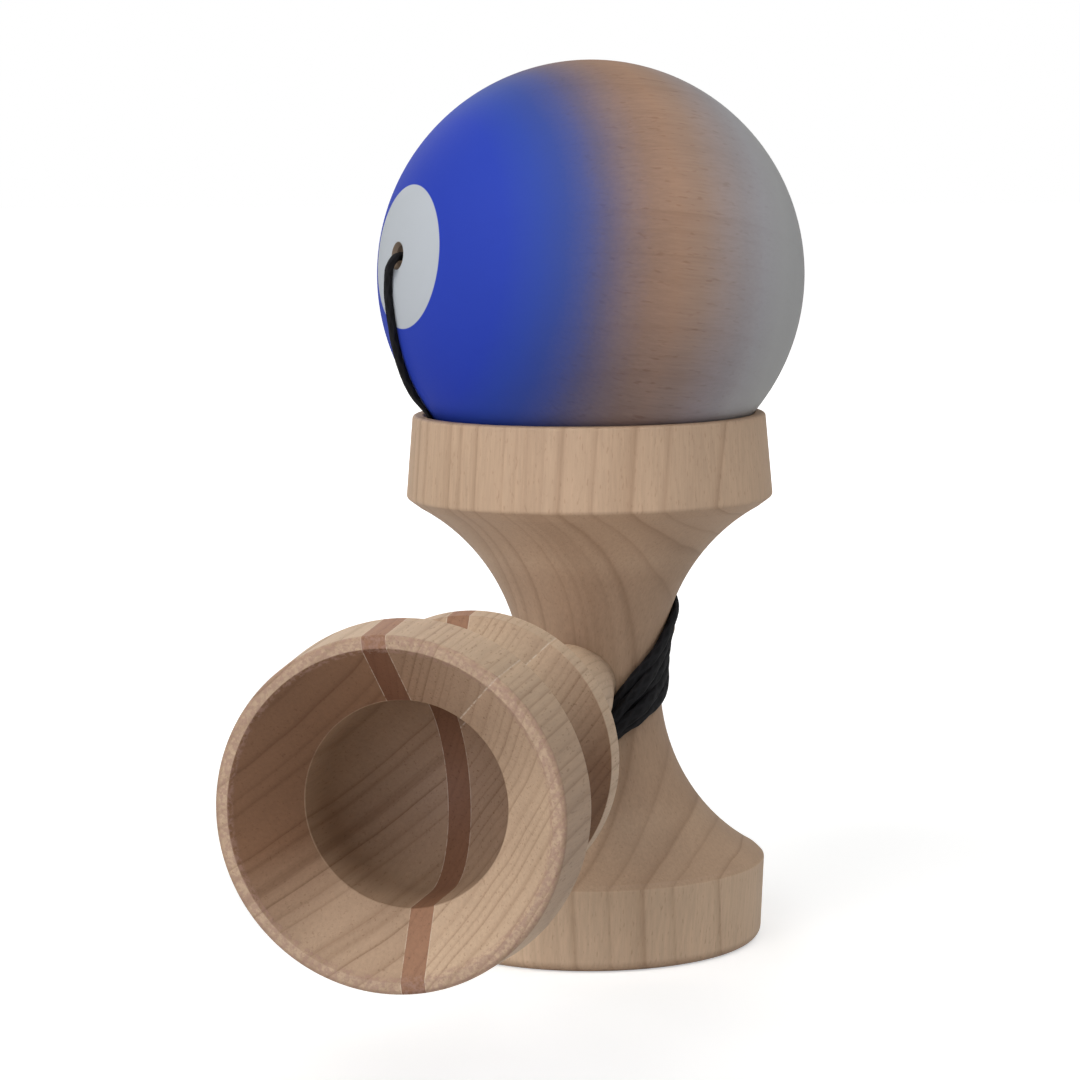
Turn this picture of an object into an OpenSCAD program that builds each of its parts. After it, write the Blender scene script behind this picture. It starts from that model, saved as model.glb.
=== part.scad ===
// Kendama: a wooden cup and ball toy.
// It stands on the foot cup of its cross piece, with the ball in the top cup.
// The handle goes through the waist and lies along Y, its base cup towards -Y.
// The origin is on the floor, under the middle of the handle. +Z is up.

/* [Ball] */
// Diameter of the ball
ball_d = 60; // [57:0.5:62]
// Diameter of the hole that catches the spike
spike_hole_d = 20; // [17:0.5:22]
// Length of the spike hole's straight wall, from the top of the ball's curve
spike_hole_depth = 34; // [30:0.5:36]
// Chamfer round the mouth of the spike hole
spike_hole_chamfer = 1.2; // [0.5:0.1:2]
// Diameter of the narrower hole below it, which holds the bead and its knot
bead_pocket_d = 8.8; // [8.4:0.1:9.6]
// Point angle of the drills that made both holes
drill_point_angle = 118; // [110:1:130]
// Diameter of the hole that the string comes out of
string_hole_d = 3; // [2.4:0.1:3.6]
// Compass angle of the string hole, seen from the ball's centre, from +X
string_hole_azimuth = -139.5; // [-150:0.5:-130]
// Angle of the string hole above the ball's equator
string_hole_tilt = 6.5; // [0:0.5:15]
// Room between the ball and the top cup's bevel, where the string is pinched
ball_seat_gap = 0.34; // [0.34:0.01:0.5]
// Distance that the pinched string pushes the ball to one side
ball_shift = 0.4; // [0.35:0.01:0.42]

/* [Cross piece] */
// Height of the cross piece
cross_h = 75; // [70:0.5:80]
// Diameter of the top cup's rim
top_rim_d = 49.8; // [48:0.1:52]
// Diameter of the top collar at its lower edge
top_edge_d = 51.8; // [50:0.1:54]
// Height of the top collar
top_collar_h = 11.6; // [9:0.1:13]
// Width of the bevel under the top collar's edge
top_bevel_w = 1.75; // [1:0.05:2.5]
// Height of that bevel
top_bevel_h = 1.3; // [0.8:0.1:2]
// Diameter of the foot collar just above its rounded lower edge
foot_rim_d = 48.2; // [46:0.1:50]
// Diameter of the foot collar at its upper edge
foot_edge_d = 49.2; // [47:0.1:51]
// Height of the foot collar
foot_collar_h = 12.2; // [10:0.1:14]
// Bevel round the foot collar's upper edge
foot_bevel = 0.7; // [0.3:0.1:1.2]
// Radius of the foot's rounded lower edge
foot_round = 1.6; // [1:0.1:2.2]
// Diameter of the waist, at its narrowest
waist_d = 19.8; // [19:0.1:22]
// Radius of the hollow curve from the waist out to each collar
cove_r = 27.8; // [26.5:0.1:29]
// Width of the flat rim round the top and foot cups
rim_land = 1.45; // [1:0.05:2]
// Slope of every cup's bevel, from the plane of its rim
bevel_angle = 46; // [43:1:48]
// Diameter of the top cup's bowl, where its bevel ends
top_bowl_d = 29; // [25:0.5:31]
// Depth of the top cup
top_cup_depth = 18; // [16:0.5:20]
// Diameter of the foot cup's bowl, where its bevel ends
foot_bowl_d = 26; // [23:0.5:28]
// Depth of the foot cup
foot_cup_depth = 15; // [13:0.5:17]
// Diameter of the cross piece's string hole
cord_hole_d = 2.2; // [1.8:0.1:2.6]

/* [Handle] */
// Length of the handle, from the base cup's rim to the spike's tip
handle_len = 154; // [150:0.5:170]
// Distance from the base cup's rim to the cross piece's axis
base_to_cross = 103; // [98:0.5:108]
// Diameter of the base cup's rim
base_rim_d = 41.2; // [40:0.1:42.4]
// Diameter of the base cup's side wall, at its back edge
base_wall_d = 42.6; // [41.4:0.1:44]
// Length of the base cup's side wall
base_wall_w = 9.7; // [8:0.1:11]
// Width of the flat rim round the base cup
base_land = 1.5; // [1:0.05:2]
// Diameter of the base cup's bowl
base_bowl_d = 24.2; // [22:0.1:25]
// Depth of the base cup
base_cup_depth = 27.8; // [24:0.1:28.5]
// Diameter at the bottom of the groove behind the base cup
groove_d = 26; // [25:0.1:29]
// Radius of that groove's curve
groove_r = 16.6; // [16:0.1:18]
// Diameter of the shelf behind the groove, at its back edge
shelf_d = 36.2; // [34:0.1:38]
// Diameter of the shelf at its front edge
shelf_front_d = 35.8; // [33.6:0.1:37.6]
// Thickness of the shelf at its edge
shelf_w = 3.6; // [2.5:0.1:5]
// Radius of the hollow curve from the shelf down to the grip
shelf_cove_r = 10; // [9:0.1:11]
// Diameter of the grip where that curve ends
grip_d = 19.2; // [18:0.1:21]
// Diameter of the grip where its shoulder starts to round
shoulder_d = 16.2; // [15:0.1:17]
// Length of the rounded shoulder, in front of the cross piece
shoulder_len = 18.6; // [16:0.1:21]
// Diameter of the stem where it enters the cross piece
stem_d = 11; // [10.4:0.1:11.6]
// Diameter of the stem where it leaves the cross piece
stem_back_d = 9.8; // [9:0.1:10.2]
// Diameter of the spike's round tip
spike_tip_d = 4.8; // [4.6:0.1:5.4]
// Clearance all round between the stem and the cross piece
stem_gap = 0.03; // [0.02:0.01:0.08]

/* [Handle blank] */
// Width of the dark strip that is glued in along the handle
strip_w = 2.8; // [2:0.1:4]
// Distance from the handle's axis to the middle of the strip
strip_offset = 0.6; // [0:0.1:1]
// Turn of the whole blank about the handle's axis
blank_turn = 5.9; // [0:0.1:10]

/* [String] */
// Diameter of the string
cord_d = 1; // [0.8:0.05:1.1]
// Diameter of the wooden bead inside the ball
bead_d = 8; // [7:0.1:9]
// Diameter of the bead's bore
bead_bore_d = 1.5; // [1.3:0.1:1.8]
// Diameter of the knot behind the bead
bead_knot_d = 3.4; // [3:0.1:4]
// Diameter of the knot in the handle's stem
stem_knot_d = 3; // [2.8:0.1:3.4]

/* [Hidden] */
$fn = 96;
// How far a cut runs past the surface that it opens
overrun = 1;
// Small bevel that eases a turned edge
edge_ease = 0.3;

top_rim_r = top_rim_d / 2;
top_edge_r = top_edge_d / 2;
foot_rim_r = foot_rim_d / 2;
foot_edge_r = foot_edge_d / 2;
waist_r = waist_d / 2;
top_edge_z = cross_h - top_collar_h;
cove_x = waist_r + cove_r;
// Where each cove starts on its collar, and the waist's narrowest places that follow from it
top_cove_r = top_edge_r - top_bevel_w;
top_cove_z = top_edge_z - top_bevel_h;
foot_cove_r = foot_edge_r - foot_bevel;
top_waist_z = top_cove_z - sqrt(pow(cove_r, 2) - pow(cove_x - top_cove_r, 2));
foot_waist_z = foot_collar_h + sqrt(pow(cove_r, 2) - pow(cove_x - foot_cove_r, 2));
axis_z = cross_h / 2;
cross_y = base_to_cross - handle_len / 2;

ball_r = ball_d / 2;
top_mouth_r = top_rim_r - rim_land;
foot_mouth_r = foot_rim_r - foot_round - rim_land;
// Height of the ball's centre: its surface is ball_seat_gap from the bevel, measured square to it
ball_z = cross_h + (ball_r + ball_seat_gap - top_mouth_r * sin(bevel_angle)) / cos(bevel_angle);
ball_centre = [ball_shift, 0, ball_z];
spike_hole_r = spike_hole_d / 2;
string_hole_r = string_hole_d / 2;
// Distances along the ball's axis are from its centre, towards the spike hole's mouth
spike_hole_floor = ball_r - spike_hole_depth;
drill_half_angle = drill_point_angle / 2;
// Least space between pieces that rest on each other
snug = 0.05;
bead_r = bead_d / 2;
bead_bore_r = bead_bore_d / 2;
bead_knot_r = bead_knot_d / 2;
pocket_r = bead_pocket_d / 2;
// The bead's centre over the pocket's point, and the knot's over the bead's, on its bore's edge
bead_rise = (bead_r + snug) / sin(drill_half_angle);
knot_rise = sqrt(pow(bead_r, 2) - pow(bead_bore_r, 2))
            + sqrt(pow(bead_knot_r + snug, 2) - pow(bead_bore_r, 2));
// The pocket is deep enough for the spike to miss the knot
pocket_spare = 0.2;
drill_apex = spike_hole_floor - pocket_spare - bead_knot_r - knot_rise - bead_rise;
bead_at = drill_apex + bead_rise;
bead_knot_at = bead_at + knot_rise;
cord_r = cord_d / 2;
// Where the straight string inside the ball ends, just short of the ball's surface
cord_exit_at = ball_r - 1.5 * cord_d;

base_rim_r = base_rim_d / 2;
base_wall_r = base_wall_d / 2;
base_mouth_r = base_rim_r - base_land;
base_bowl_r = base_bowl_d / 2;
shelf_r = shelf_d / 2;
shelf_front_r = shelf_front_d / 2;
grip_r = grip_d / 2;
shoulder_r = shoulder_d / 2;
stem_r = stem_d / 2;
stem_back_r = stem_back_d / 2;
spike_tip_r = spike_tip_d / 2;
// Places along the handle, measured from the base cup's rim
groove_x = groove_d / 2 + groove_r;
groove_at = base_wall_w + sqrt(pow(groove_r, 2) - pow(groove_x - base_wall_r, 2));
shelf_at = groove_at + sqrt(pow(groove_r, 2) - pow(groove_x - shelf_front_r, 2));
shelf_back_at = shelf_at + shelf_w;
shelf_cove_x = grip_r + shelf_cove_r;
grip_at = shelf_back_at + sqrt(pow(shelf_cove_r, 2) - pow(shelf_cove_x - shelf_r, 2));
// The cove behind the shelf, in short straight steps that the blank's seams cut cleanly
shelf_cove_steps = 12;
shelf_cove_start = 180 - acos((shelf_r - shelf_cove_x) / shelf_cove_r);
shelf_cove = [for (i = [1 : shelf_cove_steps])
    let (a = shelf_cove_start * (1 - i / shelf_cove_steps))
    [shelf_cove_x - shelf_cove_r * cos(a), grip_at - shelf_cove_r * sin(a)]];
stem_at = base_to_cross - waist_r - cord_r;
stem_back_at = base_to_cross + waist_r;
shoulder_at = stem_at - shoulder_len;
shoulder_drop = shoulder_r - stem_r;
shoulder_arc_r = (pow(shoulder_len, 2) + pow(shoulder_drop, 2)) / (2 * shoulder_drop);
// Change of the stem's radius for each millimetre along it
stem_taper_share = (stem_r - stem_back_r) / (stem_back_at - stem_at);
// Radius of the stem at the cross piece's axis, and where the knot's hole in it ends
stem_mid_r = stem_back_r + stem_taper_share * waist_r;
knot_floor = stem_mid_r - stem_knot_d - 3 * snug;
blank_reach = handle_len;

function unit(v) = v / norm(v);
function compass(azimuth) = [cos(azimuth), sin(azimuth), 0];
function aim(azimuth, tilt) = [cos(tilt) * cos(azimuth), cos(tilt) * sin(azimuth), sin(tilt)];
function on_ball(azimuth, tilt, off) = ball_centre + (ball_r + off) * aim(azimuth, tilt);
function at_axis(azimuth, r, z) = r * compass(azimuth) + [0, 0, z];

// Radius of the waist and coves at a height
function waist_radius(z) =
    z > top_waist_z ? cove_x - sqrt(pow(cove_r, 2) - pow(z - top_waist_z, 2)) :
    z < foot_waist_z ? cove_x - sqrt(pow(cove_r, 2) - pow(z - foot_waist_z, 2)) :
    waist_r;

// Sides of the string's tube, where it runs alone and in the winding
cord_sides = 8;
winding_sides = 6;

// A tube along points: each ring is square to the run, its first half-width along outs[i].
// thins[i] is the share of the string's thickness left where it is pinched, and it spreads as much.
module swept_cord(points, outs, thins, sides) {
    n = len(points);
    runs = [for (i = [0 : n - 1]) unit(points[min(i + 1, n - 1)] - points[max(i - 1, 0)])];
    rings = [for (i = [0 : n - 1])
        let (out = unit(outs[i] - (outs[i] * runs[i]) * runs[i]), side = cross(runs[i], out))
        for (k = [0 : sides - 1])
            points[i] + cord_r * (thins[i] * cos(360 * k / sides) * out
                                  + (2 - thins[i]) * sin(360 * k / sides) * side)];
    walls = [for (i = [0 : n - 2]) for (k = [0 : sides - 1])
        let (a = i * sides + k, b = i * sides + (k + 1) % sides)
        each [[a, b, a + sides], [b, b + sides, a + sides]]];
    first = [for (k = [sides - 1 : -1 : 0]) k];
    last = [for (k = [0 : sides - 1]) (n - 1) * sides + k];
    polyhedron(points = rings, faces = concat(walls, [first, last]), convexity = 10);
}

// Everything is drawn round the foot of the cross piece's axis, then moved to the part's origin
module placed() {
    translate([0, cross_y, 0]) children();
}

// Turned from the axis outwards, along +Y from the base cup's rim
module along_handle() {
    translate([0, -base_to_cross, axis_z]) rotate([-90, 0, 0]) children();
}

// The ball's own axis, with +Z out of the spike hole's mouth
module along_ball() {
    translate(ball_centre) rotate([0, 90 + string_hole_tilt, string_hole_azimuth + 180]) children();
}

// Half section of a cup: a bevel from the rim down to a bowl with a round floor
module cup_section(mouth_r, bowl_r, depth) {
    bevel_h = (mouth_r - bowl_r) * tan(bevel_angle);
    bowl_h = depth - bevel_h;
    floor_r = (pow(bowl_r, 2) + pow(min(bowl_h, bowl_r), 2)) / (2 * min(bowl_h, bowl_r));
    lead = overrun / tan(bevel_angle);
    polygon([[0, overrun], [mouth_r + lead, overrun], [bowl_r, -bevel_h], [0, -bevel_h]]);
    if (bowl_h > bowl_r) {
        translate([0, bowl_r - depth]) square([bowl_r, bowl_h - bowl_r + edge_ease]);
    }
    intersection() {
        translate([0, floor_r - depth]) circle(floor_r);
        translate([0, -depth]) square([bowl_r, min(bowl_h, bowl_r)]);
    }
}

module cross_section() {
    difference() {
        union() {
            polygon([[0, 0], [foot_rim_r - foot_round, 0], [foot_rim_r, foot_round],
                     [foot_edge_r, foot_collar_h - foot_bevel], [foot_cove_r, foot_collar_h],
                     [top_cove_r, top_cove_z], [top_edge_r, top_edge_z],
                     [top_rim_r, cross_h - edge_ease], [top_rim_r - edge_ease, cross_h],
                     [0, cross_h]]);
            translate([foot_rim_r - foot_round, foot_round]) circle(foot_round);
        }
        translate([cove_x, foot_waist_z]) circle(cove_r);
        translate([cove_x, top_waist_z]) circle(cove_r);
        translate([waist_r, foot_waist_z]) square([cove_r, top_waist_z - foot_waist_z]);
    }
}

module cross_piece() {
    // The stem's hole follows the stem's taper past both sides of the waist
    hole_reach = waist_r + overrun;
    hole_front_r = stem_r + stem_gap + stem_taper_share * (hole_reach - waist_r - cord_r);
    hole_back_r = stem_back_r + stem_gap - stem_taper_share * (hole_reach - waist_r);
    placed() color("burlywood") difference() {
        rotate_extrude() cross_section();
        translate([0, 0, cross_h])
            rotate_extrude() cup_section(top_mouth_r, top_bowl_d / 2, top_cup_depth);
        mirror([0, 0, 1])
            rotate_extrude() cup_section(foot_mouth_r, foot_bowl_d / 2, foot_cup_depth);
        translate([0, -hole_reach, axis_z]) rotate([-90, 0, 0])
            cylinder(h = 2 * hole_reach, r1 = hole_front_r, r2 = hole_back_r);
        translate([-waist_r - overrun, 0, axis_z]) rotate([0, 90, 0])
            cylinder(h = waist_r + overrun, d = cord_hole_d);
        // The string hole's mouth is countersunk for the string's bend
        translate([-waist_r - overrun, 0, axis_z]) rotate([0, 90, 0])
            cylinder(h = overrun + cord_hole_d, r1 = cord_hole_d + overrun, r2 = 0);
    }
}

module handle_section() {
    tip_at = handle_len - spike_tip_r;
    difference() {
        union() {
            polygon([[0, 0], [base_rim_r - edge_ease, 0], [base_rim_r, edge_ease],
                     [base_wall_r, base_wall_w], [shelf_front_r, shelf_at],
                     [shelf_r, shelf_back_at], each shelf_cove, [shoulder_r, shoulder_at],
                     [stem_r, stem_at], [stem_back_r, stem_back_at],
                     [spike_tip_r, tip_at], [0, tip_at]]);
            // The shoulder rounds down to the stem
            intersection() {
                translate([shoulder_r - shoulder_arc_r, shoulder_at]) circle(shoulder_arc_r, $fn = 360);
                translate([0, shoulder_at]) square([shoulder_r, shoulder_len]);
            }
            intersection() {
                translate([0, tip_at]) circle(spike_tip_r);
                translate([0, tip_at - edge_ease]) square([spike_tip_r, spike_tip_d]);
            }
        }
        translate([groove_x, groove_at]) circle(groove_r);
    }
}

// The turned handle before it is told apart into its glued blocks
module handle_turning() {
    difference() {
        along_handle() difference() {
            rotate_extrude() handle_section();
            mirror([0, 0, 1])
                rotate_extrude() cup_section(base_mouth_r, base_bowl_r, base_cup_depth);
        }
        // Cross hole for the string, opened out at one end for the knot
        translate([-stem_r - overrun, 0, axis_z]) rotate([0, 90, 0])
            cylinder(h = stem_d + 2 * overrun, d = cord_hole_d);
        translate([knot_floor, 0, axis_z]) rotate([0, 90, 0])
            cylinder(h = stem_r, d = stem_knot_d + 2 * snug);
    }
}

// Part of the blank: an outline in the handle's own plan, seen square to the strip
module blank_cut(outline) {
    intersection() {
        handle_turning();
        translate([0, 0, axis_z]) rotate([0, -blank_turn, 0])
            translate([0, 0, -blank_reach / 2]) linear_extrude(height = blank_reach) polygon(outline);
    }
}

blank_front = -base_to_cross - overrun;
blank_back = handle_len - base_to_cross + overrun;
strip_left = strip_offset - strip_w / 2;
strip_right = strip_offset + strip_w / 2;

module handle_left_block() {
    placed() color("burlywood") blank_cut([
        [-blank_reach, blank_front], [strip_left, blank_front],
        [strip_left, blank_back], [-blank_reach, blank_back]]);
}

module handle_dark_strip() {
    placed() color("sienna") blank_cut([
        [strip_left, blank_front], [strip_right, blank_front],
        [strip_right, blank_back], [strip_left, blank_back]]);
}

module handle_right_block() {
    placed() color("tan") blank_cut([
        [strip_right, blank_front], [blank_reach, blank_front],
        [blank_reach, blank_back], [strip_right, blank_back]]);
}

// A hole from its point up to the spike hole's wall
module drilled(apex, r) {
    point_h = r / tan(drill_half_angle);
    translate([0, 0, apex]) cylinder(h = point_h, r1 = 0, r2 = r);
    if (apex + point_h < spike_hole_floor - snug) {
        translate([0, 0, apex + point_h]) cylinder(h = spike_hole_floor - apex - point_h, r = r);
    }
}

module ball() {
    placed() color("royalblue") along_ball() difference() {
        sphere(ball_r);
        translate([0, 0, spike_hole_floor]) cylinder(h = ball_d, r = spike_hole_r);
        drilled(spike_hole_floor - spike_hole_r / tan(drill_half_angle), spike_hole_r);
        drilled(drill_apex, pocket_r);
        translate([0, 0, sqrt(pow(ball_r, 2) - pow(spike_hole_r, 2)) - spike_hole_chamfer])
            cylinder(h = spike_hole_chamfer + overrun, r1 = spike_hole_r,
                     r2 = spike_hole_r + spike_hole_chamfer + overrun);
        translate([0, 0, -ball_d]) cylinder(h = ball_d, r = string_hole_r);
    }
}

module bead() {
    placed() color("peru") along_ball() translate([0, 0, bead_at]) difference() {
        sphere(bead_r);
        translate([0, 0, -bead_r]) cylinder(h = bead_d, d = bead_bore_d);
    }
}

module bead_knot() {
    placed() color("black") along_ball() translate([0, 0, bead_knot_at]) sphere(bead_knot_r);
}

// The string runs straight from the knot, through the bead, to the string hole's mouth
module cord_in_ball() {
    placed() color("black") along_ball() difference() {
        translate([0, 0, -cord_exit_at]) cylinder(h = cord_exit_at + bead_knot_at, r = cord_r);
        translate([0, 0, bead_knot_at]) sphere(bead_knot_r);
    }
}

// The string's way down the ball: compass angle and tilt from the ball's centre,
// height off its surface, and the share of its thickness where the rim pinches it
cord_on_ball_route = [
    [-139.5, 6.5, -0.9, 1], [-139.2, 6.3, -0.2, 1], [-138.4, 5.8, 0.5, 1], [-138.4, 4.8, 0.92, 1],
    [-139.5, 3.7, 0.92, 1], [-141, 2.4, 0.75, 1], [-142, 0, 0.62, 1], [-142.5, -4, 0.62, 1],
    [-142.5, -8, 0.62, 1], [-142.9, -12, 0.62, 1], [-143.8, -16, 0.62, 1], [-144.9, -20, 0.62, 1],
    [-146.1, -24, 0.62, 1], [-147.4, -28, 0.62, 1], [-148.7, -32, 0.58, 0.9], [-149.8, -35.5, 0.45, 0.62]];
// Its way on between the ball and the cup
cord_pinched_route = [
    [-151.5, -38.5, 0.33, 0.42], [-155, -40.6, 0.33, 0.42], [-160, -42, 0.33, 0.42],
    [-166, -42.8, 0.33, 0.42], [-172, -43, 0.33, 0.42], [-178, -43, 0.33, 0.42],
    [-184, -42.6, 0.33, 0.42], [-189, -41.8, 0.33, 0.42], [-193, -40.8, 0.33, 0.42],
    [-195, -40, 0.34, 0.45], [-196.6, -39.1, 0.35, 0.5], [-198, -37.9, 0.64, 0.8]];
// Its way over the rim and down the back of the collar: compass angle round the cup's axis,
// distance out from the collar's edge and height over the rim
cord_back_route = [
    [160.5, -1.35, 0.72], [159, -0.85, 0.7], [157.5, -0.4, 0.2], [156, -0.15, -1.5],
    [153.5, 0.05, -4], [150.5, 0.3, -7], [147.5, 0.55, -10], [145, 0.6, -11.7], [143.5, 0.1, -12.5]];
// Where the string comes down onto the waist: compass angle, and height over the handle's axis
landing_azimuth = 105;
landing_height = 14.8;
// Shares of the straight run from the collar to there, at which the tube has a ring
straight_run = [0.25, 0.5, 0.75, 1];
// Where it lies on the waist between there and the winding
landed_azimuth = 98;
landed_height = 13.2;

// A point half a step before a, in line with the step from a to b
function run_up(a, b) = a - (b - a) / 2;
on_ball_start = ball_centre + cord_exit_at * aim(string_hole_azimuth, string_hole_tilt);
pinched_points = [for (p = cord_pinched_route) on_ball(p[0], p[1], p[2])];
over_rim = [for (p = cord_back_route) at_axis(p[0], top_edge_r + p[1], cross_h + p[2])];

module cord_on_ball() {
    n = len(cord_on_ball_route);
    last_thin = cord_pinched_route[0][3];
    points = concat([on_ball_start], [for (p = cord_on_ball_route) on_ball(p[0], p[1], p[2])],
                    [run_up(pinched_points[0], pinched_points[1]), pinched_points[0]]);
    thins = concat([1], [for (p = cord_on_ball_route) p[3]], [last_thin, last_thin]);
    outs = [for (i = [0 : n + 2]) i > n / 2 ? points[i] - ball_centre : [0, 0, cord_r]];
    placed() color("black") swept_cord(points, outs, thins, cord_sides);
}

// The winding round the waist: its turns hook under the handle and pass over the spike.
// At each compass angle, the middle of its lowest and of its highest turn, over the handle's axis
winding_edges = [
    [-90, -9.6, -6.3], [-75, -9.3, -6.1], [-66, -7.8, -4.5], [-58, -6.5, -2.3], [-50, -5.6, -0.6],
    [-40, -4.8, 1.2], [-28, -3.7, 2.9], [-15, -2.9, 4.6], [0, -1.7, 7.1], [15, -0.1, 8.9],
    [40, 2.5, 10.5], [65, 4.6, 11.3], [90, 5.8, 11.4], [115, 5.5, 10.9], [140, 3.9, 9.1],
    [160, 2.3, 7.4], [180, 0.7, 5.6], [200, -1.9, 3.4], [220, -5, 0.5], [238, -8, -2.8],
    [250, -9.2, -5], [260, -9.6, -6.1], [270, -9.6, -6.3]];
winding_start = 90;
winding_turn = 1704;
// Turn of the first and last crossing of the right side, where the edges above are measured
first_crossing = 118;
last_crossing = 1558;
rings_a_turn = 24;
winding_steps = rings_a_turn * winding_turn / 360;
// Distance from the wood to the middle of the string
cord_stand_off = cord_r + 4 * snug;
// Under the handle the turns bunch up: every other one lies on its neighbours, by one thickness.
// Angles away from straight under the handle up to which it lies there, and where it is down again
bunch_reach = 48;
bunch_end = 76;
// The end of the string bends into its hole: distances out of the waist, along Y and up
cord_end_bend = [[0.55, -0.65, -0.18], [0.15, -0.12, -0.02], [-0.5, 0, 0], [-1.2, 0, 0]];

function slope_between(a, b, col) = (b[col] - a[col]) / (b[0] - a[0]);
function edge_slope(i, col) =
    let (n = len(winding_edges) - 1)
    i == 0 || i == n ? 0 : slope_between(winding_edges[i - 1], winding_edges[i + 1], col);
// Height on a smooth line through the table
function smooth_height(azimuth, col) =
    let (i = max([for (k = [0 : len(winding_edges) - 2]) winding_edges[k][0] <= azimuth ? k : 0]),
         a = winding_edges[i], b = winding_edges[i + 1], w = b[0] - a[0], u = (azimuth - a[0]) / w)
    (1 + 2 * u) * pow(1 - u, 2) * a[col] + u * u * (3 - 2 * u) * b[col]
    + w * (u * pow(1 - u, 2) * edge_slope(i, col) - u * u * (1 - u) * edge_slope(i + 1, col));
function whole_turns(a) = a - 360 * floor((a + 90) / 360);
function winding_z(t) =
    let (azimuth = whole_turns(winding_start - t), low = smooth_height(azimuth, 1),
         high = smooth_height(azimuth, 2))
    axis_z + high + (low - high) * (t - first_crossing) / (last_crossing - first_crossing);
function on_waist(azimuth, z, lift = 0) =
    at_axis(azimuth, waist_radius(z) + cord_stand_off + lift, z);
function bunch_share(t) =
    let (crossing = floor((t - first_crossing) / 360 + 0.5), azimuth = whole_turns(winding_start - t),
         off = min(azimuth + 90, 270 - azimuth),
         u = max(0, min(1, (bunch_end - off) / (bunch_end - bunch_reach))))
    crossing % 2 == 1 ? u * u * (3 - 2 * u) : 0;
function winding_point(t) = on_waist(winding_start - t, winding_z(t), cord_d * bunch_share(t));
winding_points = concat(
    [for (i = [0 : winding_steps]) winding_point(winding_turn * i / winding_steps)],
    [for (p = cord_end_bend) [-waist_r - p.x, p.y, axis_z + p.z]]);

module cord_behind_cup() {
    edge = over_rim[len(over_rim) - 1];
    landing = on_waist(landing_azimuth, axis_z + landing_height);
    points = concat(pinched_points, over_rim, [for (k = straight_run) edge + k * (landing - edge)],
                    [on_waist(landed_azimuth, axis_z + landed_height),
                     run_up(winding_points[0], winding_points[1]), winding_points[0]]);
    thins = [for (i = [0 : len(points) - 1])
        i < len(pinched_points) ? cord_pinched_route[i][3] : 1];
    outs = [for (i = [0 : len(points) - 1])
        i < len(pinched_points) ? points[i] - ball_centre : [points[i].x, points[i].y, 0]];
    placed() color("black") swept_cord(points, outs, thins, cord_sides);
}

module cord_winding() {
    n = len(winding_points);
    // Least distance between two turns, less the string's thickness
    gaps = [for (i = [0 : n - 1]) for (j = [i + rings_a_turn / 2 : 1 : n - 1])
        norm(winding_points[i] - winding_points[j])];
    echo(least_gap_between_turns = min(gaps) - cord_d);
    outs = [for (i = [0 : n - 1]) i < n - 3 ? [winding_points[i].x, winding_points[i].y, 0] : [0, 1, 0]];
    placed() color("black") swept_cord(winding_points, outs, [for (p = winding_points) 1], winding_sides);
}

// The last of the string, inside the cross piece
module cord_tail() {
    tail_front = -waist_r - cord_end_bend[len(cord_end_bend) - 1].x;
    placed() color("black") translate([tail_front, 0, axis_z]) rotate([0, 90, 0])
        cylinder(h = -tail_front - stem_mid_r - stem_gap, r = cord_r);
}

// The knot sits in the stem's cross hole, with the last of the string behind it
module stem_knot() {
    knot_x = knot_floor + snug + stem_knot_d / 2;
    placed() color("black") translate([0, 0, axis_z]) {
        translate([knot_x, 0, 0]) sphere(d = stem_knot_d);
        translate([-stem_mid_r, 0, 0]) rotate([0, 90, 0]) cylinder(h = stem_mid_r + knot_x, r = cord_r);
    }
}

cross_piece();
handle_left_block();
handle_dark_strip();
handle_right_block();
ball();
bead();
bead_knot();
cord_in_ball();
cord_on_ball();
cord_behind_cup();
cord_winding();
cord_tail();
stem_knot();
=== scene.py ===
"""Looks of the kendama: turned light wood, a fade-painted ball and a braided black string."""

import math

import bmesh
import bpy
import numpy as np
from bpy.props import FloatProperty, FloatVectorProperty, IntProperty, PointerProperty
from mathutils import Matrix, Vector


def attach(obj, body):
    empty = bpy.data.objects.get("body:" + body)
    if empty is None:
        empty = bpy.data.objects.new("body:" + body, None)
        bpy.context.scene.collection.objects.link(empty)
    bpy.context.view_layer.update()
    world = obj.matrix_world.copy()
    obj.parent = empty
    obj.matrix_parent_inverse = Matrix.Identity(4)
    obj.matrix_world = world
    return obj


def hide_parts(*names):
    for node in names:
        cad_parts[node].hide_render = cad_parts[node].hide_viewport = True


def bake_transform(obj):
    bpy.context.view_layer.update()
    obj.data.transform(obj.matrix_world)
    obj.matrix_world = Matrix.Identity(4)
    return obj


bl_info = {
    "name": "Kendama",
    "version": (1, 0, 0),
    "blender": (4, 5, 0),
    "location": "3D View > Sidebar > Kendama",
    "description": "Builds a turned and painted kendama around its packed frame",
    "category": "Object",
}

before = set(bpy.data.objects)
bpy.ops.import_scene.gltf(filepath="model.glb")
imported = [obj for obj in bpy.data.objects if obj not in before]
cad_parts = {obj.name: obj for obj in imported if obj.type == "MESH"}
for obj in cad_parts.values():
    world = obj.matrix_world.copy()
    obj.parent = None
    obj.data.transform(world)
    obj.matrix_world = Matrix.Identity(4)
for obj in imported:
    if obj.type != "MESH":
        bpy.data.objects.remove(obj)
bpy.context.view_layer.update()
MM = 0.001

# Places in the row frame, in millimetres
CUP_AXIS = Vector((0, 26, 0))
HANDLE_AXIS = Vector((0, -77, 37.5))
BALL_CENTRE = Vector((0.4, 26, 94.393))
RIGHT = Vector((1, 0, 0))
ALONG = Vector((0, 1, 0))
UP = Vector((0, 0, 1))


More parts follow.
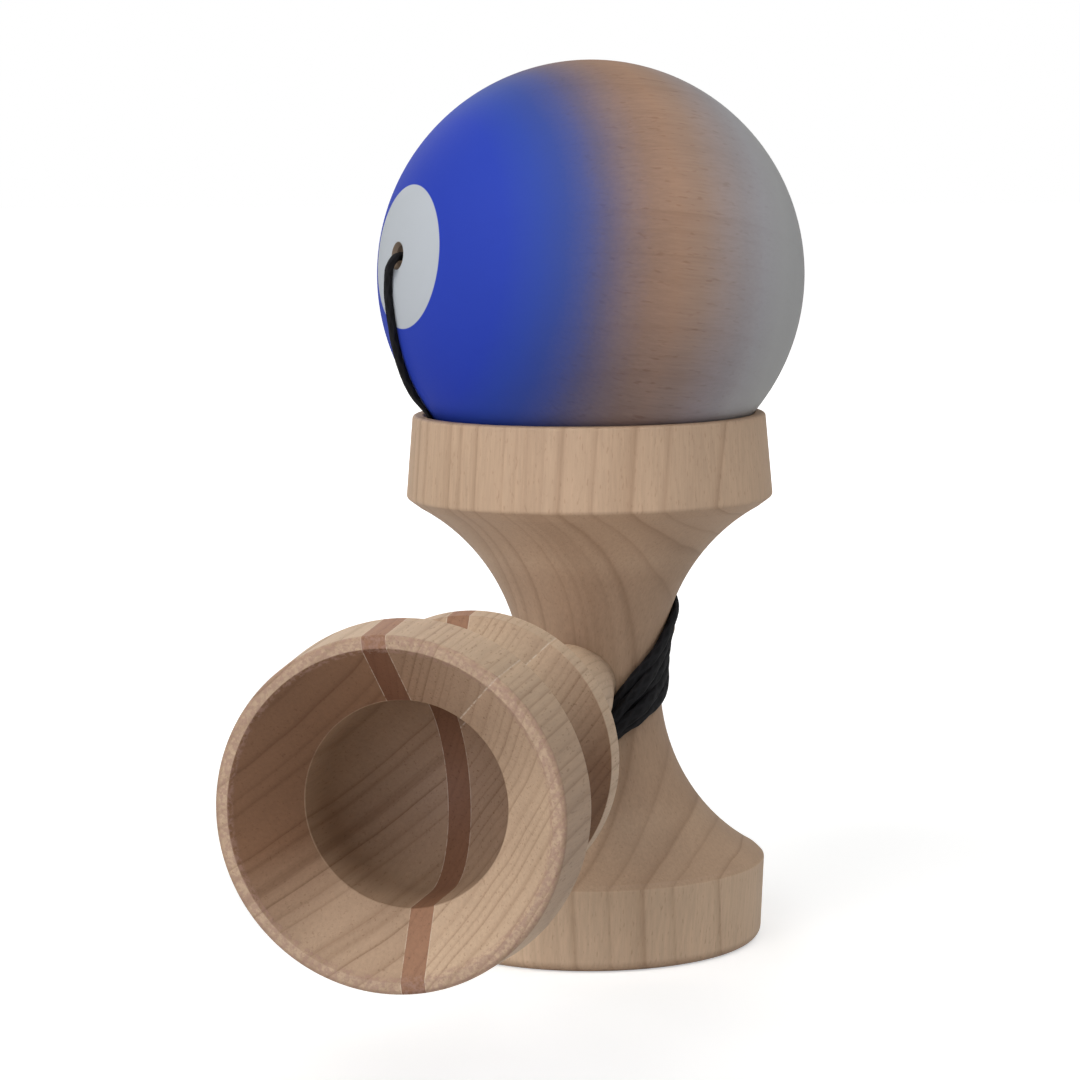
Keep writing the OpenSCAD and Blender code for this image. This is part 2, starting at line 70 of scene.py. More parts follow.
def aim(azimuth, tilt):
    """The direction at this compass angle from +X and this tilt above the horizon, in degrees."""
    a, t = math.radians(azimuth), math.radians(tilt)
    return Vector((math.cos(t) * math.cos(a), math.cos(t) * math.sin(a), math.sin(t)))


STRING_HOLE = aim(-139.5, 6.5)
SPIKE_HOLE = -STRING_HOLE
# The middle of the waist, where the handle goes through
AXIS_Z = 37.5
WAIST = CUP_AXIS + AXIS_Z * UP

# Sizes of the cross piece, in millimetres and degrees. Its foot stands on the floor
CROSS_H, RIM_LAND, BEVEL_ANGLE = 75, 1.45, 46
TOP_RIM_R, TOP_EDGE_R, TOP_COLLAR_H, TOP_BEVEL_W, TOP_BEVEL_H = 24.9, 25.9, 11.6, 1.75, 1.3
FOOT_RIM_R, FOOT_EDGE_R, FOOT_COLLAR_H, FOOT_BEVEL, FOOT_ROUND = 24.1, 24.6, 12.2, 0.7, 1.6
TOP_BOWL_R, TOP_CUP_DEPTH, FOOT_BOWL_R, FOOT_CUP_DEPTH = 14.5, 18, 13, 15
WAIST_R, COVE_R = 9.9, 27.8
# Distance of the coves' centres from the axis, and the radius and height where each cove meets its collar
COVE_AXIS_R = WAIST_R + COVE_R
FOOT_COVE = (FOOT_EDGE_R - FOOT_BEVEL, FOOT_COLLAR_H)
TOP_COVE = (TOP_EDGE_R - TOP_BEVEL_W, CROSS_H - TOP_COLLAR_H - TOP_BEVEL_H)
STRING_BORE_R, COUNTERSINK_R = 1.1, 3.2
# Drills run this far past the waist, and the tapered hole for the stem has these radii there
DRILL_PAST, STEM_HOLE_FRONT_R, STEM_HOLE_BACK_R = 1, 5.545, 4.9

# Sizes of the handle. Distances along it run back from the base cup's rim
HANDLE_LEN, BASE_TO_CROSS = 154, 103
BASE_RIM_R, BASE_LAND, BASE_WALL_R, BASE_WALL_W = 20.6, 1.5, 21.3, 9.7
BASE_BOWL_R, BASE_CUP_DEPTH = 12.1, 27.8
GROOVE_BOTTOM_R, GROOVE_R = 13, 16.6
SHELF_FRONT_R, SHELF_BACK_R, SHELF_W, SHELF_COVE_R = 17.9, 18.1, 3.6, 10
GRIP_R, SHOULDER_R, SHOULDER_LEN, STEM_R, STEM_BACK_R, SPIKE_TIP_R = 9.6, 8.1, 18.6, 5.5, 4.9, 2.4
# The stem starts this far in front of the waist
STEM_LEAD = 0.5

# Sizes of the ball. Distances run from its centre towards the spike hole
BALL_R, SPIKE_HOLE_R, SPIKE_HOLE_END = 30, 10, -4
SPIKE_MOUTH_H, SPIKE_MOUTH_W = 1.2, 0.875
# The bead's pocket, the place of its point, and half the point angle of the drills
POCKET_R, POCKET_POINT, DRILL_HALF_ANGLE = 4.4, -16.135, 59
STRING_HOLE_R, STRING_HOLE_RIM_R, STRING_HOLE_END = 1.5, 1.9, -29.4
# The bead, its bore, half the bore's length, and where it and the knot behind it are
BEAD_R, BEAD_BORE_R, BEAD_HALF = 4, 0.75, 3.7
BEAD_AT = POCKET_POINT + 4.725
KNOT_AT = BEAD_AT + 5.51


# Settings that a user would change


def colour_setting(name, description, default):
    return FloatVectorProperty(
        name=name, description=description, subtype="COLOR", default=default, min=0, max=1)


class WoodSettings(bpy.types.PropertyGroup):
    """Colours of the bare wood"""

    light: colour_setting("Light wood", "Colour of the pale growth bands", (0.56, 0.41, 0.285))
    line: colour_setting("Ring line", "Colour of the thin lines between the bands", (0.33, 0.215, 0.135))
    strip: colour_setting("Dark strip", "Colour of the strip glued into the handle", (0.34, 0.185, 0.113))
    strip_line: colour_setting("Dark strip lines", "Colour of the lines in the strip", (0.2, 0.1, 0.06))
    bead: colour_setting("Bead", "Colour of the bead", (0.5, 0.34, 0.2))


class StringSettings(bpy.types.PropertyGroup):
    """The string"""

    diameter: FloatProperty(
        name="Diameter", description="Thickness of the string where nothing pinches it",
        subtype="DISTANCE", default=0.001, min=0.0008, max=0.0014)
    colour: colour_setting("Colour", "Colour of the braid", (0.003, 0.0028, 0.0033))


class TurningSettings(bpy.types.PropertyGroup):
    """How finely the turned pieces are made"""

    steps: IntProperty(
        name="Steps round", description="Sides of each turned piece", default=192, min=48, max=256)


# Modelling helpers


def share(value, low, high):
    """0 at low and 1 at high, straight between them and level beyond. low may be above high."""
    return min(max((value - low) / (high - low), 0), 1)


def deselect():
    """Nothing is selected or active."""
    if bpy.context.object and bpy.context.object.mode != "OBJECT":
        bpy.ops.object.mode_set(mode="OBJECT")
    bpy.ops.object.select_all(action="DESELECT")


def pick(obj):
    """Only obj is selected, and it is active."""
    deselect()
    obj.select_set(True)
    bpy.context.view_layer.objects.active = obj


def arc(centre, radius, first, last, count):
    """Points on a circle in a half section, from one angle to another in degrees."""
    return [
        (centre[0] + radius * math.cos(math.radians(first + (last - first) * i / count)),
         centre[1] + radius * math.sin(math.radians(first + (last - first) * i / count)))
        for i in range(count + 1)
    ]


# A rounding takes at most this share of a side
MOST_OF_SIDE = 0.45
# A point this many times as far from the corner as the rounding keeps the side beside it straight
GUARD = 1.3


def eased(corners, count=4):
    """A half section whose corners (r, height, ease) are rounded to the radius ease."""
    out = []
    for i, c in enumerate(corners):
        ease = c[2] if len(c) > 2 else 0
        if not ease:
            out.append((c[0], c[1]))
            continue
        here = Vector(c[:2])
        back, on = Vector(corners[i - 1][:2]) - here, Vector(corners[i + 1][:2]) - here
        turn = back.angle(on)
        reach = min(ease / math.tan(turn / 2), MOST_OF_SIDE * back.length, MOST_OF_SIDE * on.length)
        radius = reach * math.tan(turn / 2)
        a, b = here + reach * back.normalized(), here + reach * on.normalized()
        middle = here + (back.normalized() + on.normalized()).normalized() * (radius / math.sin(turn / 2))
        if GUARD * reach < back.length / 2:
            out.append(tuple(here + GUARD * reach * back.normalized()))
        va, vb = a - middle, b - middle
        angle = va.angle(vb)
        for k in range(count + 1):
            w = k / count
            p = (va * math.sin((1 - w) * angle) + vb * math.sin(w * angle)) / max(math.sin(angle), 1e-9)
            out.append(tuple(middle + p))
        if GUARD * reach < on.length / 2:
            out.append(tuple(here + GUARD * reach * on.normalized()))
    return out


# Points closer than this, in metres, are one point
MERGED = 2e-6


def turn_on_lathe(name, section, centre, axis, steps=None):
    """Turns a half section of (r, height) points, in millimetres, about axis through centre."""
    steps = steps or bpy.context.scene.kendama_turning.steps
    side = axis.cross(UP if abs(axis.z) < 0.9 else ALONG).normalized()
    places = [(centre + r * side + h * axis) * MM for r, h in section]
    deselect()
    bpy.ops.mesh.primitive_plane_add(size=MM, location=(0, 0, 0))
    obj = bpy.context.object
    obj.name = obj.data.name = name
    bpy.ops.object.mode_set(mode="EDIT")
    mesh = bmesh.from_edit_mesh(obj.data)
    mesh.verts.ensure_lookup_table()
    bpy.ops.mesh.select_all(action="DESELECT")
    for v in list(mesh.verts)[1:]:
        v.select = True
    bmesh.update_edit_mesh(obj.data)
    bpy.ops.mesh.delete(type="VERT")
    mesh = bmesh.from_edit_mesh(obj.data)
    mesh.verts.ensure_lookup_table()
    mesh.verts[0].co = places[0]
    mesh.verts[0].select = True
    bmesh.update_edit_mesh(obj.data)
    for before, here in zip(places, places[1:]):
        bpy.ops.mesh.extrude_region_move(TRANSFORM_OT_translate={"value": here - before})
    bpy.ops.mesh.select_all(action="SELECT")
    bpy.ops.mesh.spin(steps=steps, angle=2 * math.pi, center=centre * MM, axis=axis)
    bpy.ops.mesh.select_all(action="SELECT")
    bpy.ops.mesh.remove_doubles(threshold=MERGED)
    bpy.ops.mesh.normals_make_consistent(inside=False)
    bpy.ops.object.mode_set(mode="OBJECT")
    return obj


def finish_piece(obj, body, material, slot, *nodes, angle=35, grain=None, painted_shade=None):
    """Smooths obj, gives it its material, and lets it stand for its CAD nodes on their body."""
    pick(obj)
    bpy.ops.object.shade_smooth_by_angle(angle=math.radians(angle))
    if grain:
        mark_tone_and_shade(obj, grain, painted_shade)
    obj.data.materials.clear()
    obj.data.materials.append(material)
    if body:
        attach(obj, body)
    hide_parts(*nodes)
    return obj


# How dark the wood is, from 0 to 1, where it is cut square across its grain, and how square that has to be
CUT_TONE, CUT_SQUARE = 0.45, 0.72


def mark_tone_and_shade(obj, grain, painted_shade=None):
    """Marks how dark the wood is by how it is cut across its grain, and adds the painted shade and light that
    the given function says of a point.
    """
    mesh = obj.data
    mark = mesh.attributes.new("tone_and_shade", "FLOAT", "CORNER")
    normals = np.empty(len(mesh.loops) * 3, dtype=np.float32)
    mesh.corner_normals.foreach_get("vector", normals)
    normals = normals.reshape(-1, 3)
    cut_share = np.abs(normals @ np.array(grain.normalized()))
    tone_and_shade = CUT_TONE * np.minimum(cut_share / CUT_SQUARE, 1)
    # Painted shade and light, point by point, go on top of the darker end grain
    if painted_shade:
        used = np.empty(len(mesh.loops), dtype=np.int32)
        mesh.loops.foreach_get("vertex_index", used)
        places = [v.co / MM for v in mesh.vertices]
        tone_and_shade = np.array([painted_shade(places[v], Vector(n), t) for v, n, t in zip(used, normals, tone_and_shade)])
    mark.data.foreach_set("value", np.clip(tone_and_shade, 0, 1).astype(np.float32))


def drill(obj, start, end, r1, r2, sides=64):
    """Cuts a straight hole, in millimetres, with a cone as the cutter."""
    run = end - start
    deselect()
    bpy.ops.mesh.primitive_cone_add(
        vertices=sides, radius1=r1 * MM, radius2=r2 * MM, depth=run.length * MM,
        location=(start + end) / 2 * MM, rotation=run.to_track_quat("Z", "Y").to_euler())
    cutter = bpy.context.object
    pick(obj)
    cut = obj.modifiers.new("Hole", "BOOLEAN")
    cut.object, cut.operation, cut.solver = cutter, "DIFFERENCE", "EXACT"
    bpy.ops.object.modifier_apply(modifier=cut.name)
    bpy.data.objects.remove(cutter, do_unlink=True)


def keep_side(obj, point, normal):
    """Saws obj along a plane and keeps the side that the normal points away from."""
    pick(obj)
    bpy.ops.object.mode_set(mode="EDIT")
    bpy.ops.mesh.select_all(action="SELECT")
    bpy.ops.mesh.bisect(
        plane_co=point * MM, plane_no=normal, use_fill=True, clear_outer=True, threshold=1e-7)
    bpy.ops.object.mode_set(mode="OBJECT")


def copy_of(obj, name):
    """A copy of obj with its own mesh."""
    twin = obj.copy()
    twin.data = obj.data.copy()
    twin.name = twin.data.name = name
    bpy.context.scene.collection.objects.link(twin)
    return twin


# Half sections of the turned pieces


def tan(degrees):
    return math.tan(math.radians(degrees))


def cup_floor(bowl_r, top, floor):
    """Round floor of a shallow cup, from its axis out to its bowl's edge at height top."""
    rise = abs(top - floor)
    radius = (bowl_r**2 + rise**2) / (2 * rise)
    way = 1 if floor > top else -1
    edge = math.degrees(math.acos(bowl_r / radius))
    points = arc((0, floor - way * radius), radius, way * 90, way * edge, 16)
    points[0] = (0, floor)
    return points


def cove_rise(edge_r):
    """Height from the middle of a cove's curve to where it has run out to edge_r."""
    return math.sqrt(COVE_R**2 - (COVE_AXIS_R - edge_r) ** 2)


def cross_section():
    """(radius, height) of the cross piece, from its foot cup's floor round to its top cup's floor."""
    foot_land_r, top_land_r = FOOT_RIM_R - FOOT_ROUND - RIM_LAND, TOP_RIM_R - RIM_LAND
    foot_bowl_z = (foot_land_r - FOOT_BOWL_R) * tan(BEVEL_ANGLE)
    top_bowl_z = CROSS_H - (top_land_r - TOP_BOWL_R) * tan(BEVEL_ANGLE)
    foot_cup = cup_floor(FOOT_BOWL_R, foot_bowl_z, FOOT_CUP_DEPTH)
    top_cup = cup_floor(TOP_BOWL_R, top_bowl_z, CROSS_H - TOP_CUP_DEPTH)[::-1]
    foot_rise, top_rise = cove_rise(FOOT_COVE[0]), cove_rise(TOP_COVE[0])
    foot_angle, top_angle = (math.degrees(math.asin(rise / COVE_R)) for rise in (foot_rise, top_rise))
    cove = arc((COVE_AXIS_R, FOOT_COVE[1] + foot_rise), COVE_R, 180 + foot_angle, 180, 28)
    cove += arc((COVE_AXIS_R, TOP_COVE[1] - top_rise), COVE_R, 180, 180 - top_angle, 28)
    low_edge = arc((FOOT_RIM_R - FOOT_ROUND, FOOT_ROUND), FOOT_ROUND, -90, 0, 8)
    foot = eased([
        foot_cup[-2], (FOOT_BOWL_R, foot_bowl_z, 0.6), (foot_land_r, 0, 0.35), (FOOT_RIM_R - FOOT_ROUND, 0)])
    collar = eased([
        low_edge[-1], (FOOT_EDGE_R, FOOT_COLLAR_H - FOOT_BEVEL, 0.35), (*FOOT_COVE, 0.25), cove[1]])
    rim = eased([
        cove[-2], (*TOP_COVE, 0.4), (TOP_EDGE_R, CROSS_H - TOP_COLLAR_H, 0.6), (TOP_RIM_R, CROSS_H, 0.5),
        (top_land_r, CROSS_H, 0.35), (TOP_BOWL_R, top_bowl_z, 0.6), top_cup[1]])
    return foot_cup[:-1] + foot[1:-1] + low_edge + collar[1:] + cove[2:-1] + rim[1:] + top_cup[2:]


def handle_section():
    """(radius, distance back from the base rim) of the handle, from its bowl's floor to the spike's tip."""
    groove_axis_r, grip_axis_r = GROOVE_BOTTOM_R + GROOVE_R, GRIP_R + SHELF_COVE_R
    groove_in = math.sqrt(GROOVE_R**2 - (groove_axis_r - BASE_WALL_R) ** 2)
    groove_out = math.sqrt(GROOVE_R**2 - (groove_axis_r - SHELF_FRONT_R) ** 2)
    groove_at = BASE_WALL_W + groove_in
    shelf = groove_at + groove_out
    shelf_back = shelf + SHELF_W
    grip = shelf_back + math.sqrt(SHELF_COVE_R**2 - (grip_axis_r - SHELF_BACK_R) ** 2)
    shoulder = BASE_TO_CROSS - WAIST_R - STEM_LEAD - SHOULDER_LEN
    drop = SHOULDER_R - STEM_R
    round_r = (SHOULDER_LEN**2 + drop**2) / (2 * drop)
    bowl = arc((0, BASE_CUP_DEPTH - BASE_BOWL_R), BASE_BOWL_R, 90, 0, 24)
    bowl[0] = (0, BASE_CUP_DEPTH)
    first = 180 + math.degrees(math.asin(groove_in / GROOVE_R))
    last = 180 - math.degrees(math.asin(groove_out / GROOVE_R))
    groove = arc((groove_axis_r, groove_at), GROOVE_R, first, last, 40)
    behind_first = 180 + math.degrees(math.acos((grip_axis_r - SHELF_BACK_R) / SHELF_COVE_R))
    behind = arc((grip_axis_r, grip), SHELF_COVE_R, behind_first, 180, 20)
    land_r = BASE_RIM_R - BASE_LAND
    bevel_end = (land_r - BASE_BOWL_R) * tan(BEVEL_ANGLE)
    cup = eased([
        bowl[-1], (BASE_BOWL_R, bevel_end, 0.3), (land_r, 0, 0.3), (BASE_RIM_R, 0, 0.6),
        (BASE_WALL_R, BASE_WALL_W, 0.35), groove[1]])
    shelf_edge = eased([
        groove[-2], (SHELF_FRONT_R, shelf, 0.3), (SHELF_BACK_R, shelf_back, 0.4), behind[1]])
    round_last = math.degrees(math.asin(SHOULDER_LEN / round_r))
    rounding = arc((SHOULDER_R - round_r, shoulder), round_r, 0, round_last, 14)
    stem_end = (STEM_BACK_R, BASE_TO_CROSS + WAIST_R)
    tip = arc((0, HANDLE_LEN - SPIKE_TIP_R), SPIKE_TIP_R, 0, 90, 8)
    tip[-1] = (0, HANDLE_LEN)
    return bowl + cup[1:] + groove[2:-1] + shelf_edge[1:] + behind[2:] + rounding + [stem_end] + tip


def ball_section():
    """(radius, distance towards the spike hole) of the ball, from its string hole round and back to it."""
    mouth, lip_r = math.sqrt(BALL_R**2 - SPIKE_HOLE_R**2) - SPIKE_MOUTH_H, SPIKE_HOLE_R + SPIKE_MOUTH_W
    cone = tan(DRILL_HALF_ANGLE)
    shoulder = SPIKE_HOLE_END - (SPIKE_HOLE_R - POCKET_R) / cone
    pocket, point = POCKET_POINT + POCKET_R / cone, POCKET_POINT + STRING_HOLE_R / cone
    first = -90 + math.degrees(math.asin(STRING_HOLE_RIM_R / BALL_R))
    outside = arc((0, 0), BALL_R, first, math.degrees(math.acos(lip_r / BALL_R)), 120)
    inside = eased([
        outside[-2], (*outside[-1], 0.4), (SPIKE_HOLE_R, mouth, 0.5), (SPIKE_HOLE_R, SPIKE_HOLE_END, 0.3),
        (POCKET_R, shoulder, 0.3), (POCKET_R, pocket, 0.3), (STRING_HOLE_R, point)])
    return [(STRING_HOLE_R, point), (STRING_HOLE_R, STRING_HOLE_END)] + outside[:-1] + inside[1:]


def bead_section():
    """(radius, distance along its bore) of the bead."""
    bore = [(BEAD_BORE_R, -BEAD_HALF), (BEAD_BORE_R, BEAD_HALF)]
    return bore[:1] + arc((0, 0), BEAD_R, -77, 77, 40) + bore[::-1]


# The string's route

# Down the ball: compass angle and tilt from its centre, height off it, and share of the thickness left
ON_BALL = (
    (-139.5, 6.5, -0.9, 1), (-139.2, 6.3, -0.2, 1), (-138.4, 5.8, 0.5, 1), (-138.4, 4.8, 0.92, 1),
    (-139.5, 3.7, 0.92, 1), (-141, 2.4, 0.75, 1), (-142, 0, 0.62, 1), (-142.5, -4, 0.62, 1),
    (-142.5, -8, 0.62, 1), (-142.9, -12, 0.62, 1), (-143.8, -16, 0.62, 1), (-144.9, -20, 0.62, 1),
    (-146.1, -24, 0.62, 1), (-147.4, -28, 0.62, 1), (-148.7, -32, 0.58, 0.9), (-149.8, -35.5, 0.45, 0.62),
    # Between the ball and the cup
    (-151.5, -38.5, 0.33, 0.42), (-155, -40.6, 0.33, 0.42), (-160, -42, 0.33, 0.42),
    (-166, -42.8, 0.33, 0.42), (-172, -43, 0.33, 0.42), (-178, -43, 0.33, 0.42), (-184, -42.6, 0.33, 0.42),
    (-189, -41.8, 0.33, 0.42), (-193, -40.8, 0.33, 0.42), (-195, -40, 0.34, 0.45), (-196.6, -39.1, 0.35, 0.5),
    (-198, -37.9, 0.64, 0.8),
)
# Over the rim and down the collar's back: compass angle, distance out from its edge, height over the rim
OVER_RIM = (
    (160.5, -1.35, 0.72), (159, -0.85, 0.7), (157.5, -0.4, 0.2), (156, -0.15, -1.5), (153.5, 0.05, -4),
    (150.5, 0.3, -7), (147.5, 0.55, -10), (145, 0.6, -11.7), (143.5, 0.1, -12.5),
)
# The winding: compass angle, and the middle of its lowest and highest turn over the handle's axis
WINDING = (
    (-90, -9.6, -6.3), (-75, -9.3, -6.1), (-66, -7.8, -4.5), (-58, -6.5, -2.3), (-50, -5.6, -0.6),
    (-40, -4.8, 1.2), (-28, -3.7, 2.9), (-15, -2.9, 4.6), (0, -1.7, 7.1), (15, -0.1, 8.9), (40, 2.5, 10.5),
    (65, 4.6, 11.3), (90, 5.8, 11.4), (115, 5.5, 10.9), (140, 3.9, 9.1), (160, 2.3, 7.4), (180, 0.7, 5.6),
    (200, -1.9, 3.4), (220, -5, 0.5), (238, -8, -2.8), (250, -9.2, -5), (260, -9.6, -6.1),
    (270, -9.6, -6.3),
)
# The braid is this much fuller than the bare cord
PLUMP = 1.14
# Into its hole: distances out of the waist, along Y and up
END_BEND = ((0.55, -0.65, -0.18), (0.15, -0.12, -0.02), (-0.5, 0, 0), (-1.2, 0, 0))
# Its last places, to the left of the waist's axis, ending just off the stem
TAIL = (-7.6, -6.4, -5.22)
# Inside the ball: distances from its centre, from the knot to where the string leaves its hole
STRING_LEAVES = 28.5
IN_BALL = (-KNOT_AT, 9, 13, 17, 21, 25, STRING_LEAVES)
# From this place in ON_BALL on, the string lies on the surface
LIES_FROM = 9
# Down behind the cup to the waist: the angle it faces in the air, and compass angle and height on the waist
FREE_FACES = 124
ONTO_WAIST = ((105, AXIS_Z + 14.8), (98, AXIS_Z + 13.2))
# Degrees along the winding: to its highest turn, from there to its lowest, and to its end
HIGHEST_TURN, TURNS_DOWN, LAST_TURN = 118, 1440, 1704
# Every other turn is raised as far as this angle from the front, and none past the second
BUNCHED, SPREAD = 48, 76
# The string's middle is this far off the waist
STRING_OFF = 0.7
# Room for each turn over the distance to the turns beside it, and how much wider than thick it gets at most
LAP, WIDEST = 1.04, 1.75
# Strands each way in the braid, the length in which one goes round, and the share by which they stand out
STRANDS, LAY, STRAND_RELIEF = 4, 3.2, 0.035


def off_ball(azimuth, tilt, off):
    return BALL_CENTRE + (BALL_R + off) * aim(azimuth, tilt)


def round_cup(azimuth, radius, height):
    return CUP_AXIS + radius * aim(azimuth, 0) + height * UP


def waist_radius(height):
    """Radius of the waist and its coves at a height."""
    top = TOP_COVE[1] - cove_rise(TOP_COVE[0])
    foot = FOOT_COVE[1] + cove_rise(FOOT_COVE[0])
    beyond = max(height - top, foot - height, 0)
    return COVE_AXIS_R - math.sqrt(COVE_R**2 - beyond**2)


def on_waist(azimuth, height, lift=0.0):
    return round_cup(azimuth, waist_radius(height) + STRING_OFF + lift, height)


def winding_height(azimuth, col):
    """A smooth line through one column of the winding's table."""
    rows = WINDING
    i = max(k for k in range(len(rows) - 1) if rows[k][0] <= azimuth)

    def slope(k):
        if k in (0, len(rows) - 1):
            return 0
        return (rows[k + 1][col] - rows[k - 1][col]) / (rows[k + 1][0] - rows[k - 1][0])

    a, b = rows[i], rows[i + 1]
    w = b[0] - a[0]
    u = (azimuth - a[0]) / w
    return ((1 + 2 * u) * (1 - u) ** 2 * a[col] + u * u * (3 - 2 * u) * b[col]
            + w * (u * (1 - u) ** 2 * slope(i) - u * u * (1 - u) * slope(i + 1)))


def winding_point(turn):
    """A point of the winding. Under the handle every other turn lies on its neighbours."""
    # It starts at the back, at 90 degrees, and the table runs from the front, at -90, round to 270
    azimuth = (90 - turn + 90) % 360 - 90
    low, high = winding_height(azimuth, 1), winding_height(azimuth, 2)
    from_front = min(azimuth + 90, 270 - azimuth)
    bunched = share(from_front, SPREAD, BUNCHED)
    raised = math.floor((turn - HIGHEST_TURN) / 360 + 0.5) % 2
    lift = bunched**2 * (3 - 2 * bunched) if raised else 0
    return on_waist(azimuth, AXIS_Z + high + (low - high) * (turn - HIGHEST_TURN) / TURNS_DOWN, lift)


def winding_width(turn):
    """How much wider than its thickness the string spreads, to lie against the turns beside it."""
    here, spans = winding_point(turn), []
    for beside in (turn - 360, turn + 360):
        if 0 <= beside <= LAST_TURN:
            nearby = range(beside - 48, beside + 49, 4)
            spans.append(min((winding_point(at) - here).length for at in nearby))
    return min(max(LAP * sum(spans) / len(spans), 1), WIDEST) if spans else 1


def string_route():
    """(point, way out of the surface, thickness and width shares) along the string, from the bead's knot."""
    stops = [(BALL_CENTRE + out * STRING_HOLE, UP, 1, 1) for out in IN_BALL]
    for i, (azimuth, tilt, off, thin) in enumerate(ON_BALL):
        point = off_ball(azimuth, tilt, off)
        stops.append((point, UP if i < LIES_FROM else point - BALL_CENTRE, thin, 2 - thin))
    stops += [(round_cup(a, TOP_EDGE_R + r, CROSS_H + z), aim(a, 0), 1, 1) for a, r, z in OVER_RIM]
    edge, landing = stops[-1][0], on_waist(*ONTO_WAIST[0])
    stops += [(edge.lerp(landing, k), aim(FREE_FACES, 0), 1, 1) for k in (0.25, 0.5, 0.75)]
    stops += [(on_waist(a, z), aim(a, 0), 1, 1) for a, z in ONTO_WAIST]
    for turn in range(0, LAST_TURN + 1, 12):
        stops.append((winding_point(turn), aim(90 - turn, 0), 1, winding_width(turn)))
    for out, along, up in END_BEND:
        stops.append((WAIST + Vector((-WAIST_R - out, along, up)), ALONG, 1, 1))
    stops += [(WAIST + x * RIGHT, ALONG, 1, 1) for x in TAIL]
    return stops


def smooth_run(stops, step):
    """The route as a smooth curve (a centripetal spline) with a point at every step, in millimetres."""
    points = [Vector(stop[0]) for stop in stops]
    fine, ways, thins, wides = [], [], [], []
    for i in range(len(points) - 1):
        b, c = points[i], points[i + 1]
        a = points[i - 1] if i else 2 * b - c
        d = points[i + 2] if i + 2 < len(points) else 2 * c - b
        t1 = math.sqrt((b - a).length)
        t2 = t1 + math.sqrt((c - b).length)
        t3 = t2 + math.sqrt((d - c).length)
        count = max(4, int((c - b).length / 0.1))
        for k in range(count):
            w = k / count
            t = t1 + w * (t2 - t1)
            ab, bc, cd = a.lerp(b, t / t1), b.lerp(c, w), c.lerp(d, (t - t2) / (t3 - t2))
            fine.append(ab.lerp(bc, t / t2).lerp(bc.lerp(cd, (t - t1) / (t3 - t1)), w))
            ways.append(Vector(stops[i][1]).normalized().lerp(Vector(stops[i + 1][1]).normalized(), w))
            thins.append(stops[i][2] + w * (stops[i + 1][2] - stops[i][2]))
            wides.append(stops[i][3] + w * (stops[i + 1][3] - stops[i][3]))
    fine.append(points[-1])
    ways.append(Vector(stops[-1][1]))
    thins.append(stops[-1][2])
    wides.append(stops[-1][3])
    lengths = np.concatenate([[0], np.cumsum([(q - p).length for p, q in zip(fine, fine[1:])])])
    at = np.linspace(0, lengths[-1], max(2, round(lengths[-1] / step)) + 1)
    columns = [np.interp(at, lengths, [v[k] for v in fine]) for k in range(3)]
    columns += [np.interp(at, lengths, [v[k] for v in ways]) for k in range(3)]
    columns += [np.interp(at, lengths, thins), np.interp(at, lengths, wides)]
    rows = np.transpose(columns)
    return [(Vector(row[:3]), Vector(row[3:6]), float(row[6]), float(row[7])) for row in rows]


def braided_tube(name, run, diameter, sides=16, closed=False):
    """A tube of braid along a run. Its UV map holds millimetres along it and turns round it."""
    count = len(run)
    points = [stop[0] for stop in run]
    tangents = []
    for i in range(count):
        before, after = max(i - 1, 0), min(i + 1, count - 1)
        if closed:
            before, after = i - 1, (i + 1) % count
        tangents.append((points[after] - points[before]).normalized())
    normal = tangents[0].orthogonal().normalized()
    corners, places, travelled = [], [], 0
    for i, (point, way, thin, wide) in enumerate(run):
        run_way = tangents[i]
        normal = (normal - normal.dot(run_way) * run_way).normalized()
        across = run_way.cross(normal)
        out = (way - way.dot(run_way) * run_way)
        out = out.normalized() if out.length > 1e-3 else normal
        side = run_way.cross(out)
        if i:
            travelled += (point - points[i - 1]).length
        for k in range(sides):
            turn = 2 * math.pi * k / sides
            left = math.sin(STRANDS * turn + 2 * math.pi * travelled / LAY)
            right = math.sin(STRANDS * turn - 2 * math.pi * travelled / LAY)
            swell = 1 + STRAND_RELIEF * max(left, right)
            way_out = math.cos(turn) * normal + math.sin(turn) * across
            spread = thin * way_out.dot(out) * out + wide * way_out.dot(side) * side
            corners.append((point + diameter / 2 * swell * spread) * MM)
            places.append((travelled, k / sides))
    faces = []
    for i in range(count if closed else count - 1):
        for k in range(sides):
            j, m = (i + 1) % count, (k + 1) % sides
            faces.append((i * sides + k, j * sides + k, j * sides + m, i * sides + m))
    if not closed:
        faces.append(tuple(range(sides)))
        faces.append(tuple((count - 1) * sides + k for k in range(sides - 1, -1, -1)))
    mesh = bpy.data.meshes.new(name)
    mesh.from_pydata(corners, [], faces)
    unwrapped = mesh.uv_layers.new(name="UVMap")
    for face in mesh.polygons:
        used = [places[mesh.loops[loop].vertex_index] for loop in face.loop_indices]
        wraps = max(v for _, v in used) - min(v for _, v in used) > 0.5
        for loop, (u, v) in zip(face.loop_indices, used):
            unwrapped.data[loop].uv = (u, v + 1 if wraps and v < 0.5 else v)
    obj = bpy.data.objects.new(name, mesh)
    bpy.context.scene.collection.objects.link(obj)
    pick(obj)
    bpy.ops.object.mode_set(mode="EDIT")
    bpy.ops.mesh.select_all(action="SELECT")
    bpy.ops.mesh.normals_make_consistent(inside=False)
    bpy.ops.object.mode_set(mode="OBJECT")
    return obj


KNOT_STEPS = 96
# How many times as long the knot is along the string as the plain trefoil of the formula
KNOT_STRETCH = 1.9


